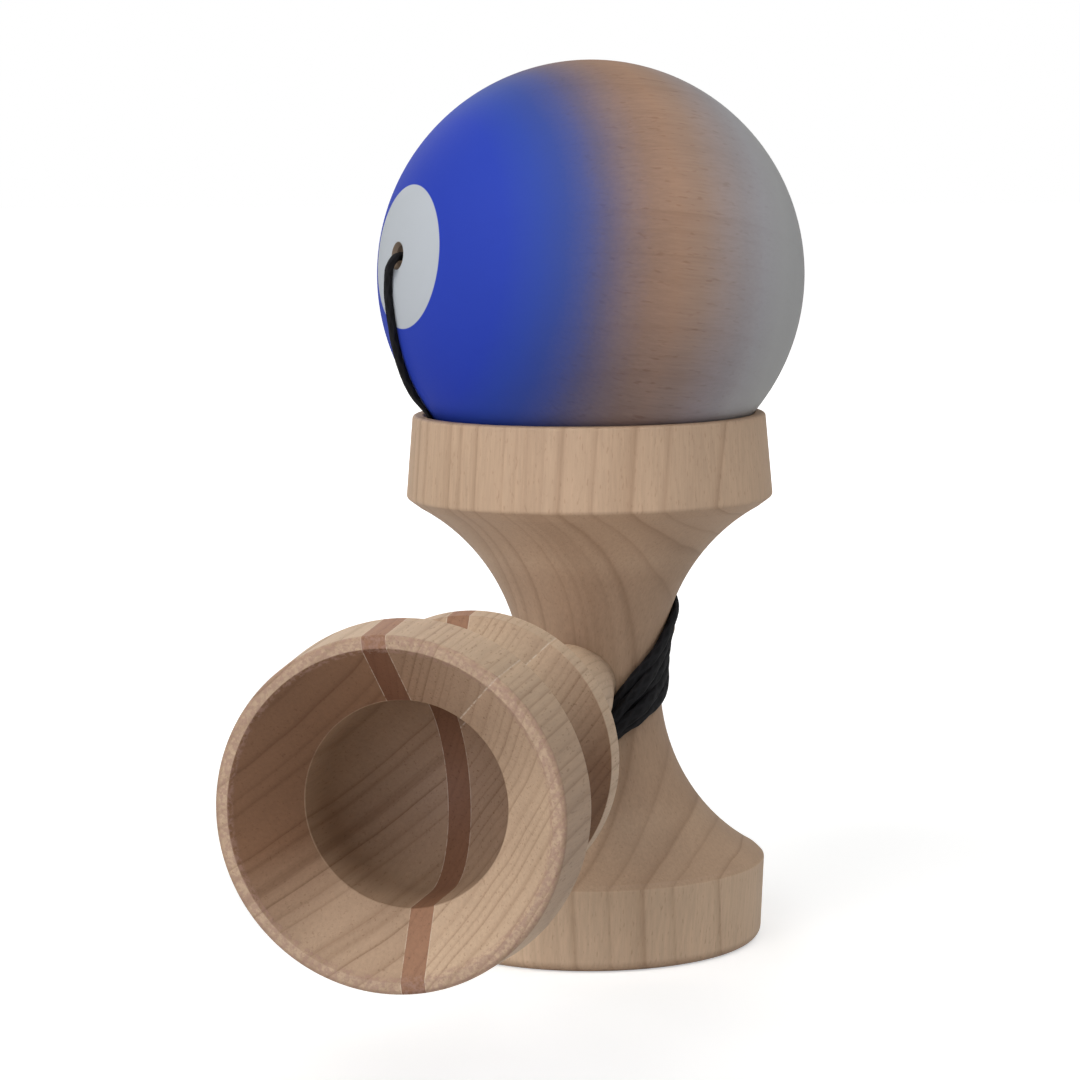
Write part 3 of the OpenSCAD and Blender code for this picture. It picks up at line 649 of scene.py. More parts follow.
def knot_run(centre, axis, reach, tube):
    """The closed run of a drawn-up knot about a string's axis, nowhere further than reach from the axis."""
    across = axis.orthogonal().normalized()
    third = axis.cross(across)
    size = (reach - tube / 2) / 3
    run = []
    for i in range(KNOT_STEPS):
        t = 2 * math.pi * i / KNOT_STEPS
        flat = (math.sin(t) + 2 * math.sin(2 * t)) * across + (math.cos(t) - 2 * math.cos(2 * t)) * third
        point = centre + size * (flat - KNOT_STRETCH * math.sin(3 * t) * axis)
        run.append((point, point - centre, 1, 1))
    return run


# Materials


def add(tree, kind, inputs=None, **settings):
    """A node of this kind. inputs gives sockets or values, by the socket's name or number."""
    made = tree.nodes.new("ShaderNode" + kind)
    for name, value in settings.items():
        setattr(made, name, value)
    feed(tree, made, inputs or {})
    return made


def feed(tree, node, inputs):
    """Links each socket given to the node's input of that name or number, and sets each value given."""
    for name, value in inputs.items():
        if isinstance(value, bpy.types.NodeSocket):
            tree.links.new(value, node.inputs[name])
        else:
            node.inputs[name].default_value = value


def maths(tree, operation, *values):
    return add(tree, "Math", dict(enumerate(values)), operation=operation).outputs[0]


def vectors(tree, operation, *values, out="Vector"):
    return add(tree, "VectorMath", dict(enumerate(values)), operation=operation).outputs[out]


def mixed(tree, factor, first, second, how="MIX"):
    """first turned towards second by factor, as colours."""
    return add(tree, "Mix", {0: factor, 6: first, 7: second}, data_type="RGBA", blend_type=how).outputs[2]


def scaled(tree, colour, factor):
    """colour made brighter or darker by factor."""
    return add(tree, "VectorMath", {0: colour, "Scale": factor}, operation="SCALE").outputs["Vector"]


def between(tree, value, low, high):
    """0 at low and 1 at high, smooth between them and level beyond. low may be above high."""
    inputs = {"Value": value, "From Min": low, "From Max": high}
    return add(tree, "MapRange", inputs, interpolation_type="SMOOTHSTEP").outputs[0]


def noise(tree, place, scale, detail, roughness=0.5, squeeze=None):
    """Cloudy noise from 0 to 1. squeeze multiplies the place along each axis first."""
    if squeeze:
        place = vectors(tree, "MULTIPLY", place, squeeze)
    inputs = {"Vector": place, "Scale": scale, "Detail": detail, "Roughness": roughness}
    return add(tree, "TexNoise", inputs).outputs["Fac"]


def ramp(tree, value, stops):
    """A colour ramp of (place, colour) stops."""
    made = add(tree, "ValToRGB", {"Fac": value})
    band = made.color_ramp
    for place, colour in stops[1:-1]:
        band.elements.new(place).color = colour
    for element, (place, colour) in ((band.elements[0], stops[0]), (band.elements[-1], stops[-1])):
        element.position, element.color = place, colour
    return made.outputs[0]


def grey(level):
    return (level, level, level, 1)


def rgb(colour):
    return (*colour, 1)


def level_ramp(tree, value, stops):
    """A ramp of (place, level) stops in grey."""
    return ramp(tree, value, [(place, grey(level)) for place, level in stops])


KINDS = {"v": "NodeSocketVector", "c": "NodeSocketColor", "f": "NodeSocketFloat"}


def new_group(name, takes, gives):
    """An empty node group with its named sockets, and its input and output nodes."""
    tree = bpy.data.node_groups.new(name, "ShaderNodeTree")
    for label, kind in takes:
        tree.interface.new_socket(name=label, in_out="INPUT", socket_type=KINDS[kind])
    for label, kind in gives:
        tree.interface.new_socket(name=label, in_out="OUTPUT", socket_type=KINDS[kind])
    return tree, tree.nodes.new("NodeGroupInput").outputs, tree.nodes.new("NodeGroupOutput").inputs


def use_group(tree, group, inputs):
    made = tree.nodes.new("ShaderNodeGroup")
    made.node_tree = group
    feed(tree, made, inputs)
    return made.outputs


WOOD_TAKES = (
    ("Place", "v"), ("Pale", "c"), ("Line", "c"), ("Spacing", "f"), ("Depth", "f"), ("Waviness", "f"),
    ("Flecks", "f"), ("Fleck size", "f"), ("Tone and shade", "f"),
)
# How dark a growth ring is across its width
RING = ((0, 0.55), (0.06, 0.14), (0.35, 0), (0.7, 0.16), (0.9, 0.72), (0.955, 1), (1, 0.55))
# What multiplies the wood's colour where its tone, from darker end grain and painted shade, is 1
TONE_AND_SHADE_DARKENING = (0.36, 0.26, 0.21, 1)


def turned_wood():
    """Growth rings, fibres and flecks. Place is in millimetres: Z along the grain, X out from the pith."""
    if "Turned wood" in bpy.data.node_groups:
        return bpy.data.node_groups["Turned wood"]
    tree, takes, gives = new_group(
        "Turned wood", WOOD_TAKES, (("Color", "c"), ("Roughness", "f"), ("Height", "f")))
    place = takes["Place"]
    wander = noise(tree, place, 0.06, 2.0, squeeze=(1, 1, 0.12))
    sway = maths(tree, "MULTIPLY", maths(tree, "SUBTRACT", wander, 0.5), takes["Waviness"])
    x, y, _ = add(tree, "SeparateXYZ", {0: place}).outputs
    flat = add(tree, "CombineXYZ", {0: maths(tree, "ADD", x, sway), 1: y, 2: 0.0}).outputs[0]
    radius = vectors(tree, "LENGTH", flat, out="Value")
    # Rings are wider in some years, and darker in others
    growth_inputs = {"W": maths(tree, "MULTIPLY", radius, 0.19), "Scale": 1.0, "Detail": 1.0}
    growth = add(tree, "TexNoise", growth_inputs, noise_dimensions="1D").outputs["Fac"]
    rings = maths(tree, "DIVIDE", radius, takes["Spacing"])
    phase = maths(tree, "ADD", rings, maths(tree, "MULTIPLY", growth, 2.4))
    year_inputs = {"W": maths(tree, "FLOOR", phase)}
    year = add(tree, "TexWhiteNoise", year_inputs, noise_dimensions="1D").outputs["Value"]
    line = maths(tree, "MULTIPLY", level_ramp(tree, maths(tree, "FRACT", phase), RING), takes["Depth"])
    line = maths(tree, "MULTIPLY", line, maths(tree, "MULTIPLY_ADD", year, 0.7, 0.3))
    fibre = noise(tree, place, 1.0, 4.0, 0.62, squeeze=(2.6, 2.6, 0.16))
    cloud = noise(tree, place, 1.0, 1.0, squeeze=(0.09, 0.09, 0.035))
    fineness = maths(tree, "DIVIDE", 1.0, takes["Fleck size"])
    speck = noise(tree, place, fineness, 1.0, squeeze=(3.6, 3.6, 0.9))
    fleck = maths(tree, "MULTIPLY", between(tree, speck, 0.6, 0.78), takes["Flecks"])
    bright = maths(tree, "MULTIPLY_ADD", fibre, 0.38, 0.81)
    bright = maths(tree, "ADD", bright, maths(tree, "MULTIPLY_ADD", cloud, 0.26, -0.13))
    wood = scaled(tree, mixed(tree, line, takes["Pale"], takes["Line"]), bright)
    wood = mixed(tree, fleck, wood, takes["Line"], "MULTIPLY")
    # Darker end grain and painted shade, both carried by the tone
    wood = mixed(tree, takes["Tone and shade"], wood, TONE_AND_SHADE_DARKENING, "MULTIPLY")
    tree.links.new(wood, gives["Color"])
    tree.links.new(maths(tree, "MULTIPLY_ADD", fibre, 0.16, 0.5), gives["Roughness"])
    tree.links.new(maths(tree, "SUBTRACT", fibre, maths(tree, "MULTIPLY", line, 0.35)), gives["Height"])
    return tree


def glue_line():
    """A thin line on a plane: how near Place is to the plane square to Across at Distance."""
    if "Glue line" in bpy.data.node_groups:
        return bpy.data.node_groups["Glue line"]
    tree, takes, gives = new_group(
        "Glue line", (("Place", "v"), ("Across", "v"), ("Distance", "f"), ("Width", "f")), (("Mask", "f"),))
    along = vectors(tree, "DOT_PRODUCT", takes["Place"], takes["Across"], out="Value")
    off = maths(tree, "ABSOLUTE", maths(tree, "SUBTRACT", along, takes["Distance"]))
    inner = maths(tree, "MULTIPLY", takes["Width"], 0.4)
    tree.links.new(between(tree, off, takes["Width"], inner), gives["Mask"])
    return tree


def new_material(name):
    material = bpy.data.materials.new(name)
    material.use_nodes = True
    tree = material.node_tree
    tree.nodes.clear()
    shader = add(tree, "BsdfPrincipled")
    tree.links.new(shader.outputs[0], add(tree, "OutputMaterial").inputs[0])
    return material, tree, shader


def millimetres(tree):
    """The place on the piece, in millimetres."""
    place = add(tree, "TexCoord").outputs["Object"]
    return add(tree, "Mapping", {"Vector": place, "Scale": (1000, 1000, 1000)}).outputs[0]


def wood_place(tree, place, grain, rings, pith):
    """Place turned so that Z is along the grain and X runs out from the pith, which is pith away."""
    z = Vector(grain).normalized()
    x = (Vector(rings) - Vector(rings).dot(z) * z).normalized()
    turn = Matrix((x, z.cross(x), z)).to_euler()
    return add(tree, "Mapping", {"Vector": place, "Rotation": tuple(turn), "Location": pith}).outputs[0]


def bump(tree, shader, height, strength, depth):
    """Relief from a height, whose whole range is depth metres."""
    made = add(tree, "Bump", {"Height": height, "Strength": strength, "Distance": depth})
    tree.links.new(made.outputs[0], shader.inputs["Normal"])


PALE_LINE, TUFT = (0.62, 0.52, 0.42, 1), (0.33, 0.2, 0.155, 1)
# Half width in millimetres, and strength, of the pale line on a glued seam and on a torn ring
SEAM_LINE, TORN_LINE = (0.13, 0.5), (0.12, 0.6)
# Shade across a torn growth ring, five millimetres to each side: 0.5 leaves the wood as it is
TORN_SHADE = ((0, 0.5), (0.22, 0.47), (0.42, 0.6), (0.498, 0.72), (0.503, 0.26), (0.6, 0.4), (1, 0.5))


def pale_line(tree, colour, place, plane, patches, line):
    """colour with a thin pale line, in patches, along the plane given as (square to it, distance)."""
    width, strength = line
    inputs = {"Place": place, "Across": tuple(plane[0]), "Distance": plane[1], "Width": width}
    mask = maths(tree, "MULTIPLY", use_group(tree, glue_line(), inputs)["Mask"], patches)
    return mixed(tree, maths(tree, "MULTIPLY", mask, strength), colour, PALE_LINE)


def torn_shade(tree, colour, place, plane):
    """colour paler before the torn ring on this plane and darker behind it, fading out on both sides."""
    along = vectors(tree, "DOT_PRODUCT", place, tuple(plane[0]), out="Value")
    beyond = maths(tree, "MULTIPLY_ADD", maths(tree, "SUBTRACT", along, plane[1]), 0.1, 0.5)
    shade = level_ramp(tree, beyond, TORN_SHADE)
    return scaled(tree, colour, maths(tree, "MULTIPLY_ADD", shade, 0.5, 0.75))


def rough_fibres(tree, colour, height, place, end):
    """colour and height with small dark tufts of raised fibre close behind the end at this Y."""
    behind = maths(tree, "SUBTRACT", add(tree, "SeparateXYZ", {0: place}).outputs[1], end)
    tufts = between(tree, noise(tree, place, 1.9, 3.0, 0.65), 0.4, 0.62)
    tufts = maths(tree, "MULTIPLY", between(tree, behind, 0.7, 0.3), tufts)
    colour = mixed(tree, maths(tree, "MULTIPLY", tufts, 0.62), colour, TUFT)
    return colour, maths(tree, "ADD", height, tufts)


def wood_material(name, pale, line, grain, rings, pith, spacing, depth, waviness=3.0, flecks=0.0,
                  seams=(), torn_ring=None, rough_end=None):
    """Bare sanded wood, whose growth rings run out along rings from a pith that is pith away.

    seams and torn_ring give planes as (square to the plane, distance): those of the glue beside the piece,
    and that of a growth ring whose grain is torn. rough_end is the Y of a cut end whose fibres stand up.
    """
    material, tree, shader = new_material(name)
    place = millimetres(tree)
    # The tone attribute carries darker end grain and painted shade and light
    wood = use_group(tree, turned_wood(), {
        "Place": wood_place(tree, place, grain, rings, pith), "Pale": rgb(pale), "Line": rgb(line),
        "Spacing": spacing, "Depth": depth, "Waviness": waviness, "Flecks": flecks, "Fleck size": 1.0,
        "Tone and shade": add(tree, "Attribute", attribute_name="tone_and_shade").outputs["Fac"]})
    colour, height = wood["Color"], wood["Height"]
    patchy = noise(tree, place, 1.3, 2.0)
    for plane in seams:
        colour = pale_line(tree, colour, place, plane, between(tree, patchy, 0.3, 0.6), SEAM_LINE)
    if torn_ring:
        colour = torn_shade(tree, colour, place, torn_ring)
        colour = pale_line(tree, colour, place, torn_ring, between(tree, patchy, 0.35, 0.55), TORN_LINE)
    if rough_end is not None:
        colour, height = rough_fibres(tree, colour, height, place, rough_end)
    tree.links.new(colour, shader.inputs["Base Color"])
    tree.links.new(wood["Roughness"], shader.inputs["Roughness"])
    shader.inputs["Specular IOR Level"].default_value = 0.2
    bump(tree, shader, height, 0.35, 0.00012)
    return material


# Share of a half turn away from the string hole, and the paint's colour there
PAINT = (
    (0.0, (0.025, 0.049, 0.4)), (0.22, (0.026, 0.055, 0.4)), (0.27, (0.033, 0.068, 0.355)),
    (0.305, (0.044, 0.075, 0.3)), (0.335, (0.076, 0.092, 0.255)), (0.365, (0.127, 0.113, 0.187)),
    (0.40, (0.213, 0.155, 0.157)), (0.435, (0.284, 0.183, 0.136)), (0.47, (0.337, 0.213, 0.148)),
    (0.51, (0.332, 0.23, 0.176)), (0.55, (0.331, 0.266, 0.245)), (0.59, (0.333, 0.302, 0.305)),
    (0.63, (0.377, 0.366, 0.382)), (0.69, (0.42, 0.42, 0.42)), (1.0, (0.43, 0.43, 0.425)),
)
# How much of the wood's figure shows through the paint there
SHOWS = ((0, 0.05), (0.3, 0.1), (0.4, 0.8), (0.5, 1), (0.6, 0.45), (0.68, 0.14), (1, 0.1))
DISC_OUTSIDE, DISC_INSIDE, DISC = 0.1075, 0.106, (0.475, 0.505, 0.54, 1)
# Painted shade on the ball's underside: this multiplies the paint, as much as these stops say
UNDERSIDE_SHADE, UNDERSIDE_SHADE_SHARE = (0.66, 0.76, 0.97, 1), ((0.1, 0), (0.15, 1), (0.5, 1), (0.62, 0))
BARE_HOLE, STRING_HOLE_RIM = (0.5, 0.36, 0.25, 1), (0.2, 0.15, 0.11, 1)


def ball_material():
    """Sprayed paint that fades from blue through bare wood to grey, round a white disc at the string hole."""
    material, tree, shader = new_material("faded_ball_paint")
    place = millimetres(tree)
    arm = vectors(tree, "SUBTRACT", place, tuple(BALL_CENTRE))
    along = vectors(tree, "DOT_PRODUCT", arm, tuple(STRING_HOLE), out="Value")
    length = vectors(tree, "LENGTH", arm, out="Value")
    angle = maths(tree, "DIVIDE", maths(tree, "ARCCOSINE", maths(tree, "DIVIDE", along, length)), math.pi)
    # The paint's edges waver finely with the spray, and slowly round the ball
    spray, drift = noise(tree, place, 2.2, 3.0), noise(tree, place, 0.07, 1.0)
    waver = maths(tree, "MULTIPLY_ADD", spray, 0.016, -0.008)
    waver = maths(tree, "ADD", waver, maths(tree, "MULTIPLY_ADD", drift, 0.02, -0.01))
    paint = ramp(tree, maths(tree, "ADD", angle, waver), [(at, rgb(colour)) for at, colour in PAINT])
    wood = use_group(tree, turned_wood(), {
        "Place": wood_place(tree, place, SPIKE_HOLE, UP.cross(SPIKE_HOLE), (34, 6, 0)),
        "Pale": (1.03, 1.02, 1.01, 1), "Line": (0.7, 0.6, 0.55, 1), "Spacing": 3.1, "Depth": 0.28,
        "Waviness": 5.0, "Flecks": 0.5, "Fleck size": 1.9, "Tone and shade": 0.0})
    shows = level_ramp(tree, angle, SHOWS)
    colour = mixed(tree, shows, paint, wood["Color"], "MULTIPLY")
    colour = mixed(tree, between(tree, angle, DISC_OUTSIDE, DISC_INSIDE), colour, DISC)
    # Painted shade: the underside is darker and bluer, from the disc past the bare band
    underside_shade = between(tree, vectors(tree, "DOT_PRODUCT", arm, tuple(UP), out="Value"), 2, -24)
    underside_shade = maths(tree, "MULTIPLY", underside_shade, level_ramp(tree, angle, UNDERSIDE_SHADE_SHARE))
    colour = mixed(tree, underside_shade, colour, UNDERSIDE_SHADE, "MULTIPLY")
    # Inside the drilled holes the wood is bare, and it is dark round the string hole's edge
    bare = mixed(tree, 1.0, BARE_HOLE, wood["Color"], "MULTIPLY")
    colour = mixed(tree, between(tree, length, BALL_R - 0.25, BALL_R - 0.4), colour, bare)
    out = vectors(tree, "LENGTH", vectors(tree, "CROSS_PRODUCT", arm, tuple(STRING_HOLE)), out="Value")
    at_mouth = between(tree, along, 28, 29)
    rim = maths(tree, "MULTIPLY", between(tree, out, 2.0, 1.85), at_mouth)
    colour = mixed(tree, rim, colour, STRING_HOLE_RIM)
    tree.links.new(colour, shader.inputs["Base Color"])
    satin = maths(tree, "MULTIPLY_ADD", shows, 0.05, 0.6)
    satin = maths(tree, "ADD", satin, maths(tree, "MULTIPLY_ADD", spray, 0.1, -0.05))
    tree.links.new(satin, shader.inputs["Roughness"])
    shader.inputs["Specular IOR Level"].default_value = 0.07
    figure = maths(tree, "MULTIPLY", wood["Height"], maths(tree, "MULTIPLY", shows, 0.5))
    bump(tree, shader, maths(tree, "ADD", figure, maths(tree, "MULTIPLY", spray, 0.25)), 0.2, 0.00008)
    return material


def braid():
    """The strands of a round braid. Along is in millimetres along the string, Round in turns round it."""
    if "Braid" in bpy.data.node_groups:
        return bpy.data.node_groups["Braid"]
    tree, takes, gives = new_group(
        "Braid", (("Along", "f"), ("Round", "f"), ("Strands", "f"), ("Lay", "f")),
        (("Height", "f"), ("Mask", "f")))
    way = maths(tree, "DIVIDE", takes["Along"], takes["Lay"])
    turn = maths(tree, "MULTIPLY", takes["Round"], takes["Strands"])
    full = 2 * math.pi
    left = maths(tree, "SINE", maths(tree, "MULTIPLY", maths(tree, "ADD", turn, way), full))
    right = maths(tree, "SINE", maths(tree, "MULTIPLY", maths(tree, "SUBTRACT", turn, way), full))
    height = maths(tree, "MULTIPLY_ADD", maths(tree, "MAXIMUM", left, right), 0.5, 0.5)
    tree.links.new(height, gives["Height"])
    tree.links.new(between(tree, height, 0.35, 0.95), gives["Mask"])
    return tree


STRAND_HIGHLIGHT = (0.014, 0.0135, 0.016, 1)


def string_material():
    """Black braided cord, with a painted highlight along the tops of its strands."""
    material, tree, shader = new_material("braided_string")
    colour = bpy.context.scene.kendama_string.colour
    along, turn, _ = add(tree, "SeparateXYZ", {0: add(tree, "TexCoord").outputs["UV"]}).outputs
    strands = use_group(tree, braid(), {"Along": along, "Round": turn, "Strands": STRANDS, "Lay": LAY})
    fuzz = noise(tree, millimetres(tree), 5.0, 3.0, 0.7)
    # Painted highlight: paler along the strands' tops, in specks
    top = maths(tree, "MULTIPLY", strands["Mask"], fuzz)
    tree.links.new(mixed(tree, top, rgb(colour), STRAND_HIGHLIGHT), shader.inputs["Base Color"])
    tree.links.new(maths(tree, "MULTIPLY_ADD", fuzz, 0.3, 0.62), shader.inputs["Roughness"])
    shader.inputs["Specular IOR Level"].default_value = 0.18
    relief = maths(tree, "ADD", strands["Height"], maths(tree, "MULTIPLY", fuzz, 0.5))
    bump(tree, shader, relief, 0.6, 0.00012)
    return material


def seen_straight(tree):
    """1 for the camera's own rays and those through glass, and 0.45 for reflections."""
    rays = add(tree, "LightPath").outputs
    reflected = maths(tree, "MULTIPLY", rays["Is Glossy Ray"], 0.45)
    seen = maths(tree, "MAXIMUM", rays["Is Camera Ray"], reflected)
    return maths(tree, "MAXIMUM", seen, rays["Is Transmission Ray"])


def floor_material():
    """Plain white, a little lit of itself where the camera, glass or metal sees it."""
    material, tree, shader = new_material("plain_floor")
    shader.inputs["Base Color"].default_value = grey(0.77)
    shader.inputs["Roughness"].default_value = 0.95
    shader.inputs["Specular IOR Level"].default_value = 0.0
    away = vectors(tree, "LENGTH", add(tree, "TexCoord").outputs["Object"], out="Value")
    # Half as bright by the object, where it keeps its shadow, as it is further out
    level = maths(tree, "MULTIPLY_ADD", between(tree, away, 0.1, 0.7), 0.5, 0.5)
    strength = maths(tree, "MULTIPLY", seen_straight(tree), level)
    glow = add(tree, "Emission", {"Color": grey(1), "Strength": strength})
    both = add(tree, "AddShader", {0: shader.outputs[0], 1: glow.outputs[0]})
    output = next(n for n in tree.nodes if n.type == "OUTPUT_MATERIAL")
    tree.links.new(both.outputs[0], output.inputs[0])
    return material


# The pieces


def check_closed(obj):
    """Raises an error if the piece has an open edge."""
    mesh = bmesh.new()
    mesh.from_mesh(obj.data)
    open_edges = sum(not edge.is_manifold for edge in mesh.edges)
    mesh.free()
    if open_edges:
        raise RuntimeError(f"{obj.name} has {open_edges} open edges")


def waist_painted_shade(point, normal, tone_and_shade):
    """Paints shade onto the cross piece, deeper toward its waist, makes it darker all over above its foot,
    and leaves its foot the palest.
    """
    reach = (point - CUP_AXIS).xy.length
    above_foot = share(point.z, 10.5, 13)
    # Painted shade deepens toward the waist; above the foot the wood is darker all over
    return max(tone_and_shade, 0.33 * above_foot, 0.52 * share(reach, 23, 14))


def handle_painted_shade(shaded_side, lit_side):
    """Paints shade into the handle's bowl and groove and onto the right of its wall, paints its bevel darker
    where it faces right or down and paler on the other side, and leaves the rim pale.

    shaded_side and lit_side say how strongly the painted shade darkens the bevel where it faces right or
    down, and how strongly painted light pales it on the other side.
    """
    def painted_shade(point, normal, tone_and_shade):
        arm = point - HANDLE_AXIS
        back, reach = arm.y, arm.xz.length
        in_bowl = 7 < back < 28 and reach < 12.2
        in_groove = 9.5 < back < 35.8
        on_rim = back < 1.5 and abs(normal.y) > 0.93
        on_bevel = back < 9.6 and reach < 19.5
        on_wall = back < 9.8 and reach > 20.5
        # Painted shade in the bowl, deeper on its floor and its upper side
        if in_bowl:
            return 0.42 + 0.2 * abs(normal.y) + 0.1 * max(-normal.z, 0)
        # Painted shade in the groove, except where it faces up
        if in_groove:
            return max(0.3 * tone_and_shade, share(reach, 21, 19) * (1 - max(normal.z, 0)))
        if on_rim:
            return 0.25
        # Painted shade on the bevel's side that faces right or down, painted light on the other
        if on_bevel:
            side = 1.05 * normal.x - 0.9 * normal.z + 0.12
            strength = shaded_side if side > 0 else lit_side
            return max(tone_and_shade, CUT_TONE) + strength * min(max(side, -0.6), 1)
        # Painted shade on the wall where it faces right
        if on_wall:
            return tone_and_shade + 0.38 * max(normal.x, 0) ** 3
        return tone_and_shade
    return painted_shade


# Which way the grain runs, where the pith is, and how much paler the wood is than the handle's
CROSS_GRAIN, CROSS_PITH, CROSS_PALER = (0.02, 0.05, 1), (44, 0, 0), 1.18


class KENDAMA_OT_cross_piece(bpy.types.Operator):
    """Turns the cross piece with its two cups, and drills it"""

    bl_idname = "kendama.cross_piece"
    bl_label = "Cross piece"

    def execute(self, context):
        wood = context.scene.kendama_wood
        cross = turn_on_lathe("cross_piece_turned", cross_section(), CUP_AXIS, UP)
        past = WAIST_R + DRILL_PAST
        drill(cross, WAIST - past * ALONG, WAIST + past * ALONG, STEM_HOLE_FRONT_R, STEM_HOLE_BACK_R)
        drill(cross, WAIST - past * RIGHT, WAIST - RIGHT, STRING_BORE_R, STRING_BORE_R, 32)
        drill(cross, WAIST - past * RIGHT, WAIST - (past - COUNTERSINK_R) * RIGHT, COUNTERSINK_R, 0, 32)
        check_closed(cross)
        pale, line = ([CROSS_PALER * c for c in colour] for colour in (wood.light, wood.line))
        look = wood_material(
            "cross_piece_wood", pale, line, CROSS_GRAIN, aim(-28, 0), CROSS_PITH, 3.6, 0.62, flecks=0.25)
        finish_piece(cross, "cross", look, "cross_wood", "cross_piece", grain=UP, painted_shade=waist_painted_shade)
        return {"FINISHED"}


# How far the glued blank is turned about the handle's axis, and how far the strip's sides are from it
BLANK_TURN = math.radians(5.9)
ACROSS_BLANK = Vector((math.cos(BLANK_TURN), 0, math.sin(BLANK_TURN)))
STRIP_LEFT, STRIP_RIGHT = -0.8, 2.0
# A growth ring of the right block whose grain is torn: square to its plane, and how far over the axis it
# meets the rim's plane
ACROSS_TORN_RING, TORN_RING_HEIGHT = Vector((-1, -0.0346, 1)).normalized(), 3.35
# The pith is so far away that the rings run nearly straight
HANDLE_PITH = (-170, 0, 0)
# The string's hole through the stem runs this far to each side, and the knot's pocket this far to the right
STEM_HOLE_REACH, KNOT_POCKET_REACH, KNOT_POCKET_R = 6.5, 7.5, 1.55
# Where the stem's string starts and where its knot is, to the right of the axis
STEM_STRING_X, STEM_KNOT_X = -5.193, 3.593


class KENDAMA_OT_handle(bpy.types.Operator):
    """Turns the handle, and saws it apart into its three glued blocks"""

    bl_idname = "kendama.handle"
    bl_label = "Handle"

    def execute(self, context):
        wood = context.scene.kendama_wood
        whole = turn_on_lathe("handle_turned", handle_section(), HANDLE_AXIS, ALONG)
        reach = STEM_HOLE_REACH * RIGHT
        drill(whole, WAIST - reach, WAIST + reach, STRING_BORE_R, STRING_BORE_R, 32)
        pocket_floor = WAIST + (STEM_KNOT_X - KNOT_POCKET_R) * RIGHT
        drill(whole, pocket_floor, WAIST + KNOT_POCKET_REACH * RIGHT, KNOT_POCKET_R, KNOT_POCKET_R, 32)
        check_closed(whole)
        left = copy_of(whole, "handle_left_turned")
        strip = copy_of(whole, "handle_strip_turned")
        right = copy_of(whole, "handle_right_turned")
        bpy.data.objects.remove(whole, do_unlink=True)
        at_left, at_right = (HANDLE_AXIS + at * ACROSS_BLANK for at in (STRIP_LEFT, STRIP_RIGHT))
        keep_side(left, at_left, ACROSS_BLANK)
        keep_side(strip, at_right, ACROSS_BLANK)
        keep_side(strip, at_left, -ACROSS_BLANK)
        keep_side(right, at_right, -ACROSS_BLANK)
        left_seam, right_seam = ((ACROSS_BLANK, ACROSS_BLANK.dot(at)) for at in (at_left, at_right))
        torn_ring = (ACROSS_TORN_RING, ACROSS_TORN_RING.dot(HANDLE_AXIS + TORN_RING_HEIGHT * UP))
        pale, dark = (wood.light, wood.line), (wood.strip, wood.strip_line)
        # Piece, material, slot, colours, way the rings run, their spacing and depth, flecks, seams, torn
        # ring, how strongly painted shade and light change the bevel's shaded and lit sides, and CAD node
        blocks = (
            (left, "handle_left_wood", "handle_wood", pale, aim(124, 0), 2.8, 1.0, 0.3,
             (left_seam,), None, (0.85, 0), "handle_left_block"),
            (strip, "handle_strip_wood", "strip_wood", dark, aim(150, 0), 1.1, 0.4, 0.3,
             (), None, (0.5, 0.42), "handle_dark_strip"),
            (right, "handle_right_wood", "handle_wood", pale, aim(135, 0), 1.2, 0.8, 0.4,
             (right_seam,), torn_ring, (0.5, 0.42), "handle_right_block"),
        )
        for obj, name, slot, colours, rings, spacing, depth, flecks, seams, torn, sides, node in blocks:
            check_closed(obj)
            look = wood_material(
                name, *colours, ALONG, Vector((rings.x, 0, rings.y)), HANDLE_PITH, spacing, depth,
                waviness=1.8, flecks=flecks, seams=seams, torn_ring=torn, rough_end=HANDLE_AXIS.y)
            finish_piece(obj, "handle", look, slot, node, grain=ALONG, painted_shade=handle_painted_shade(*sides))
        return {"FINISHED"}


class KENDAMA_OT_ball(bpy.types.Operator):
    """Turns the ball with its spike hole and string hole, and paints it"""

    bl_idname = "kendama.ball"
    bl_label = "Ball"

    def execute(self, context):
        ball = turn_on_lathe("ball_turned", ball_section(), BALL_CENTRE, SPIKE_HOLE)
        check_closed(ball)
        finish_piece(ball, "ball", ball_material(), "ball_paint", "ball")
        return {"FINISHED"}


BEAD_PITH = (12, 0, 0)


class KENDAMA_OT_bead(bpy.types.Operator):
    """Turns the bead that the ball swivels on"""

    bl_idname = "kendama.bead"
    bl_label = "Bead"

    def execute(self, context):
        wood = context.scene.kendama_wood
        place = BALL_CENTRE + BEAD_AT * SPIKE_HOLE
        bead = turn_on_lathe("bead_turned", bead_section(), place, SPIKE_HOLE, steps=64)
        check_closed(bead)
        look = wood_material(
            "bead_wood", wood.bead, wood.line, SPIKE_HOLE, UP, BEAD_PITH, 1.2, 0.5, waviness=1.0)
        finish_piece(bead, "string_end", look, "bead_wood", "bead", grain=SPIKE_HOLE)
        return {"FINISHED"}


# Each knot: how far it reaches from its middle, and the thickness of its string
BEAD_KNOT, STEM_KNOT = (1.7, 0.9), (1.5, 0.8)


